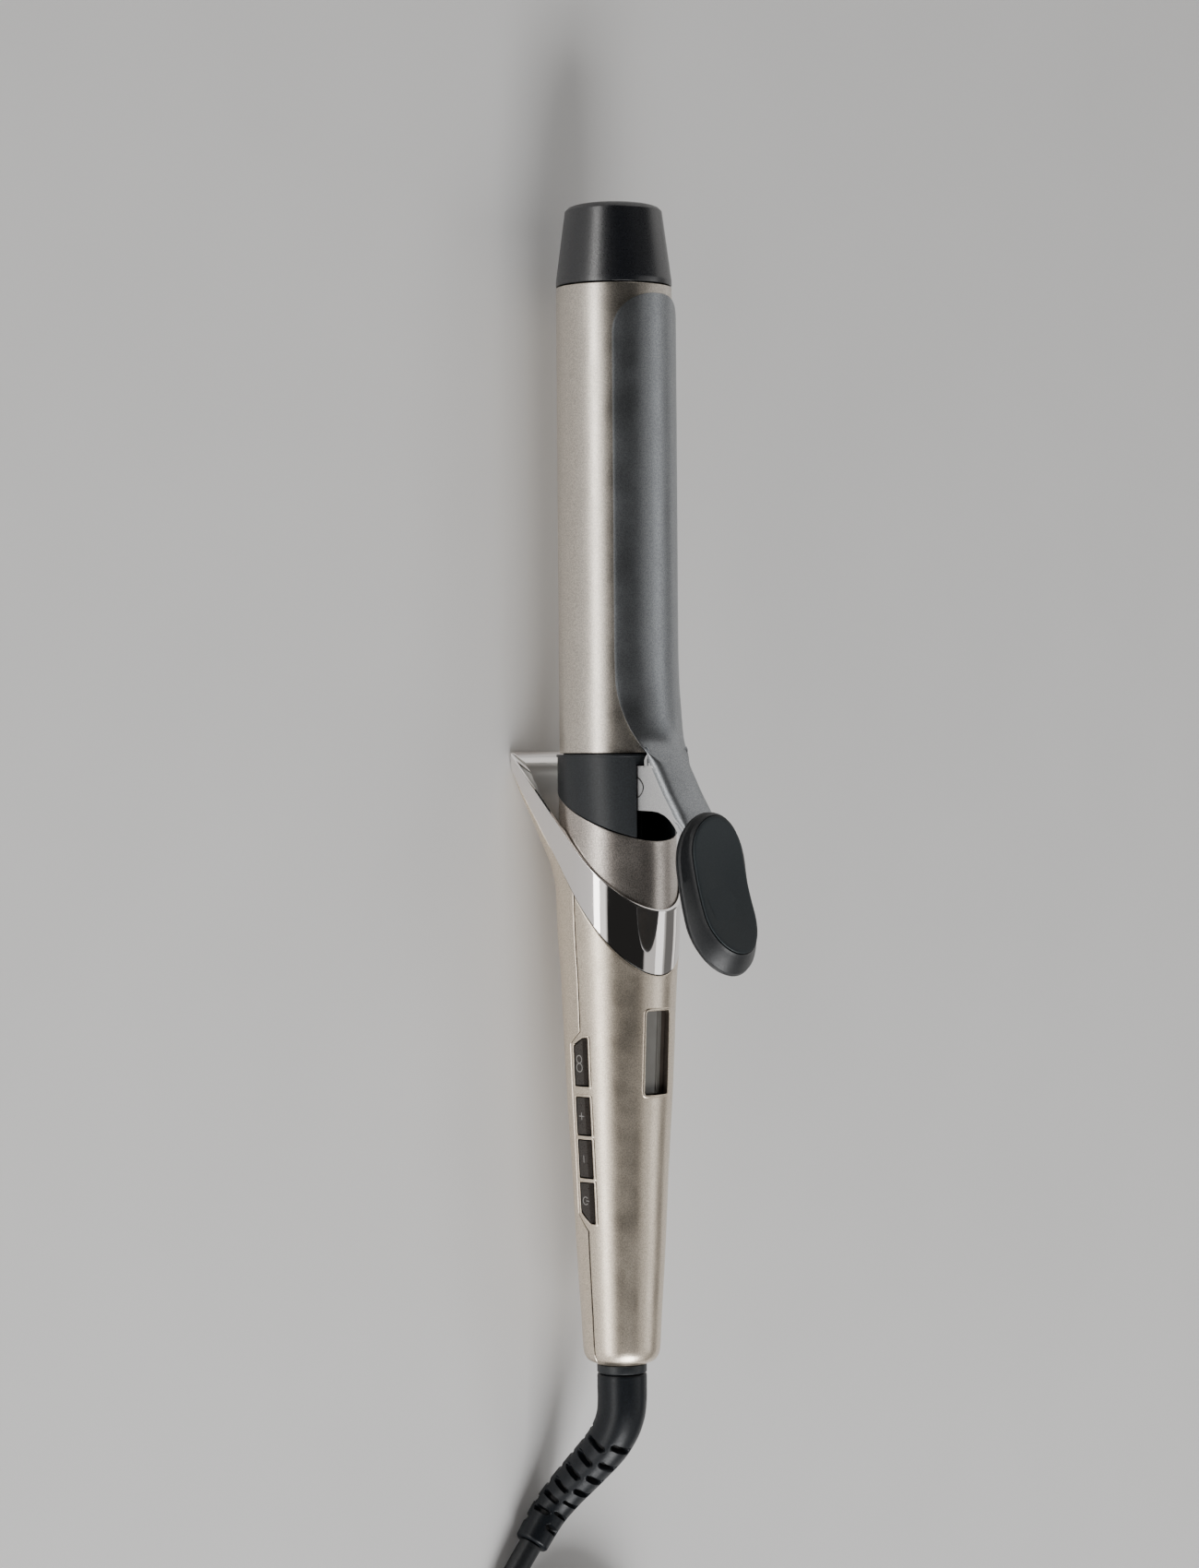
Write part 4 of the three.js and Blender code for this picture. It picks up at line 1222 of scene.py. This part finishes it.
def hank():
    """Four turns of a dog-bone, two beside and two on top, and the rise to the last run."""
    plan = [(FOLD_OUTER, WAIST_OUTER, LAYER_LOW), (FOLD_INNER, WAIST_INNER, LAYER_LOW),
            (FOLD_INNER, WAIST_INNER, LAYER_HIGH), (FOLD_OUTER, WAIST_OUTER, LAYER_HIGH)]
    top = TAIL_ROUTE[0][2]
    last_fold = FOLD_OUTER - 5
    points = []
    for now, after in zip(plan, plan[1:] + [(last_fold, 0, top)]):
        fold, _, level = now
        points += hank_run(0, 1, -1, *now)
        points += hank_fold(HANK_X + HANK_RUN, -pi / 2, fold, fold, level, level)
        points += hank_run(1, 0, 1, *now)
        points += hank_fold(HANK_X, pi / 2, fold, after[0], level, after[2])
    return points + [(HANK_X, HANK_Y - last_fold, top), (272, -24.6, top), (280, -22.2, top),
                     (288, -17.4, top)]


def cord(with_pieces):
    line = smooth_line(LEAD_ROUTE + hank() + TAIL_ROUTE, 2.0)
    rings = tube_rings(line, lambda i: CORD_R, 18)
    piece = lofted("power_cord", rings, degrees=60)
    path = [at(p) for p in line]
    piece.data.materials.append(CORD)
    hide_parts("cord_lead", "cord_hank", "cord_tail")
    at(BLEND_START)
    at(BLEND_END)
    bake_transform(piece)
    tuple(path[0])
    [tuple(p) for p in path]


def tie():
    middle = HANK_X + HANK_RUN / 2
    low, high = SURFACE_Z + 0.55, SURFACE_Z + 14.9
    wide, top = 14.2, SURFACE_Z + 22
    outline = soften([(-wide, low), (wide, low), (wide, high), (4.6, top), (-4.6, top),
                      (-wide, high)], 3.2, closed=True, parts=6)
    section = soften(rectangle(-4.9, 4.9, -0.45, 0.45), 0.3, closed=True, parts=2)
    spots = around(outline, 96)
    rings = []
    for (y, z), out in zip(spots, normals(spots)):
        rings.append([(middle + s, HANK_Y + y + out.x * t, z + out.y * t) for s, t in section])
    return placed(lofted("cord_tie_fine", rings, wrap=True), STRAP, "tie_strap")


PLUG_HEIGHT, PIN_REACH = 13, 8.8


def plug():
    low = SURFACE_Z + 14.6
    outline = soften([(340.4, -4.4), (349, -5.2), (356, -12.8), (368, -13), (373.8, -10),
                      (373.8, 10), (368, 13), (356, 12.8), (349, 5.2), (340.4, 4.4)], 3.5,
                     closed=True, parts=5)
    shifted = [(x, y + HANK_Y) for x, y in outline]
    body = prism("plug_body_fine", shifted, low, low + PLUG_HEIGHT, edge=2.6, parts=5, degrees=40)
    for x in (343, 345.4, 347.8):
        grip = soften(rectangle(x - 0.5, x + 0.5, HANK_Y - 9, HANK_Y + 9), 0.2, closed=True)
        for z0, z1 in ((low - 1, low + 0.7), (low + PLUG_HEIGHT - 0.7, low + PLUG_HEIGHT + 1)):
            carve(body, prism("grip", grip, z0, z1))
    placed(body, BOOT, "boot_rubber")
    pieces = [body]
    for word, side in (("live", -1), ("neutral", 1)):
        centre = (HANK_Y + side * PIN_REACH, low + PLUG_HEIGHT / 2)
        for part, profile, finish, slot in (
            ("pin", [(374, 0.05), (374, 1.9), (391.4, 1.9), (392.6, 1.2), (393, 0.05)],
             NICKEL, "plug_nickel"),
            ("sleeve", [(373.6, 0.05), (373.6, 2.0), (383.6, 2.0), (383.8, 0.05)],
             BOOT, "boot_rubber"),
        ):
            pin = lathed(f"plug_{part}_{word}_fine", soften(profile, 0.4), 28, centre=centre)
            pieces.append(placed(pin, finish, slot))
    return pieces


# Pieces carried over from the model, which the casings hide

CARRIED = [
    (STEEL, "clip_pivot_pin clip_spring thermal_fuse"),
    (ALUMINIUM, "heater_block_upper heater_block_lower"),
    (CERAMIC, "ptc_heater temperature_sensor lcd_module"),
    (BOARD, "circuit_board"),
    (BLACK, "power_triac contact_block tact_switch_1 tact_switch_2 tact_switch_3 tact_switch_4"),
    (BRASS, "slip_ring_live slip_ring_neutral"),
    (RED_WIRE, "dropper_capacitor heater_lead_live"),
    (WHITE_WIRE, "heater_lead_neutral sensor_lead"),
]


def carried_nodes():
    for material, names in CARRIED:
        for name in names.split():
            for slot in frame["nodes"][name].material_slots:
                slot.material = material


# Floor, light and camera

VIEW_FROM = Vector((0, -1, 1)).normalized()
VIEW_RIGHT = Vector((0, 1, 1)).normalized()
CAMERA_DISTANCE = 1075
CAMERA_LENS = 89.2
CAMERA_AIM = (8.2, -3.54, -3.54)
CAMERA_X = -2
CAMERA_ROLL = radians(0.44)


def camera():
    lens = bpy.data.cameras.new("camera")
    lens.lens = CAMERA_LENS
    lens.sensor_width = 36
    lens.clip_start, lens.clip_end = 0.05, 20
    eye = linked("camera", lens)
    place = at(Vector((CAMERA_X, 0, 0)) + VIEW_FROM * CAMERA_DISTANCE)
    back = (place - at(CAMERA_AIM)).normalized()
    up = Vector((-1, 0, 0)) * cos(CAMERA_ROLL) + VIEW_RIGHT * sin(CAMERA_ROLL)
    right = up.cross(back).normalized()
    turn = Matrix((right, back.cross(right), back)).transposed()
    eye.matrix_world = Matrix.Translation(place) @ turn.to_4x4()
    bpy.context.scene.camera = eye


def floor():
    size = 6
    level = cad_box[0].z - 0.0002
    data = bpy.data.meshes.new("floor")
    corners = rectangle(-size, size, -size, size)
    data.from_pydata([(x, y, level) for x, y in corners], [], [(0, 1, 2, 3)])
    plane = linked("floor", data)
    n = Nodes(bpy.data.materials.new("pale_floor"))
    n.into(
        Base_Color=n.blend(n.spread(n.noise(60, 2), 0, 1), (0.80, 0.79, 0.78), (0.82, 0.81, 0.80)),
        Roughness=0.75,
    )
    plane.data.materials.append(n.owner)


# The studio, as brightness round the iron's axis: degrees from the front screen's middle
# towards the back, and the light there. The screen is dark with a bright wall each side of it
# and a dim strip behind; it is wider beyond the iron's tip, and softer far beyond it.
STUDIO = [(-90, 1.2), (-50, 1.3), (-25, 1.3), (-20, 0.02), (48, 0.02), (52, 0.62), (96, 0.62),
          (101, 0.16), (124, 0.16), (128, 1.1), (136, 1.1), (180, 0.8)]
STUDIO_TIP = [(-90, 1.2), (-50, 1.6), (-40, 1.6), (-34, 0.02), (96, 0.02), (101, 0.9), (136, 0.9),
              (180, 0.8)]
STUDIO_FAR = [(-90, 0.9), (-50, 1.0), (-24, 0.6), (-14, 0.04), (24, 0.04), (56, 0.75), (136, 0.9),
              (180, 0.8)]


STUDIO_TINT = (1, 0.985, 0.965)
# Where the two tables past the tip take over, as the view's part along the iron
TIP_FROM, FAR_FROM = (-0.12, -0.22), (-0.5, -0.66)


def world():
    studio = bpy.data.worlds.new("studio")
    bpy.context.scene.world = studio
    n = Nodes(studio, "Background", "Generated")

    def part(*direction):
        """How far the view points along a direction."""
        dot = n.new("VectorMath")
        dot.operation = "DOT_PRODUCT"
        return n.fill(dot, {0: n.place, 1: Vector(direction)})["Value"]

    turn = n.new("Math")
    turn.operation = "ARCTAN2"
    n.fill(turn, {0: part(0, 1, 1), 1: part(0, -1, 1)})
    fraction = n.spread(turn.outputs[0], 0, 1, -pi, pi)
    peak = max(light for _, light in STUDIO)
    light = None
    for table, near, far in ((STUDIO, 0, 0), (STUDIO_TIP, *TIP_FROM), (STUDIO_FAR, *FAR_FROM)):
        ramp = n.new("ValToRGB")
        while len(ramp.color_ramp.elements) < len(table):
            ramp.color_ramp.elements.new(0.5)
        for element, (angle, level) in zip(ramp.color_ramp.elements, table):
            element.position = (angle + 180) / 360
            element.color = (*(level / peak * tint for tint in STUDIO_TINT), 1)
        colour = n.fill(ramp, {"Fac": fraction})["Color"]
        if light is None:
            light = colour
        else:
            light = n.blend(n.spread(part(1, 0, 0), 0, 1, near, far), light, colour)
    n.into(Color=light, Strength=peak)


# Softboxes: name, place in metres, size in metres, watts, colour. The end one lies beyond the
# cord, where it lights the floor and little of the iron.
SOFTBOXES = [
    ("key", (-0.1, -1.4, 0.14), (2.4, 0.28), 10.5, (1, 0.99, 0.975)),
    ("back", (0.1, 0.9, 1.1), (1.0, 0.45), 1.4, (0.97, 0.985, 1)),
    ("end", (1.5, -0.3, 0.9), (0.9, 0.9), 32, (0.99, 0.995, 1)),
]


def softbox(name, place, size, power, colour):
    """A rectangular lamp aimed at the iron's middle."""
    light = bpy.data.lights.new(name, "AREA")
    light.shape = "RECTANGLE"
    light.size, light.size_y = size
    light.energy = power
    light.color = colour
    lamp = linked(name, light)
    lamp.location = place
    lamp.rotation_euler = (-Vector(place)).to_track_quat("-Z", "Y").to_euler()


cool_tip()
barrel()
screws()
barrel_seat()
inner_ring()
heel_band()
handle_shells()
display()
for button_name in BUTTONS:
    button(button_name)
icons()
clip()
coining()
thumb_pad()
cord([swivel_collar(), cord_boot(), tie(), *plug()])
carried_nodes()
camera()
floor()
world()
for softbox_row in SOFTBOXES:
    softbox(*softbox_row)
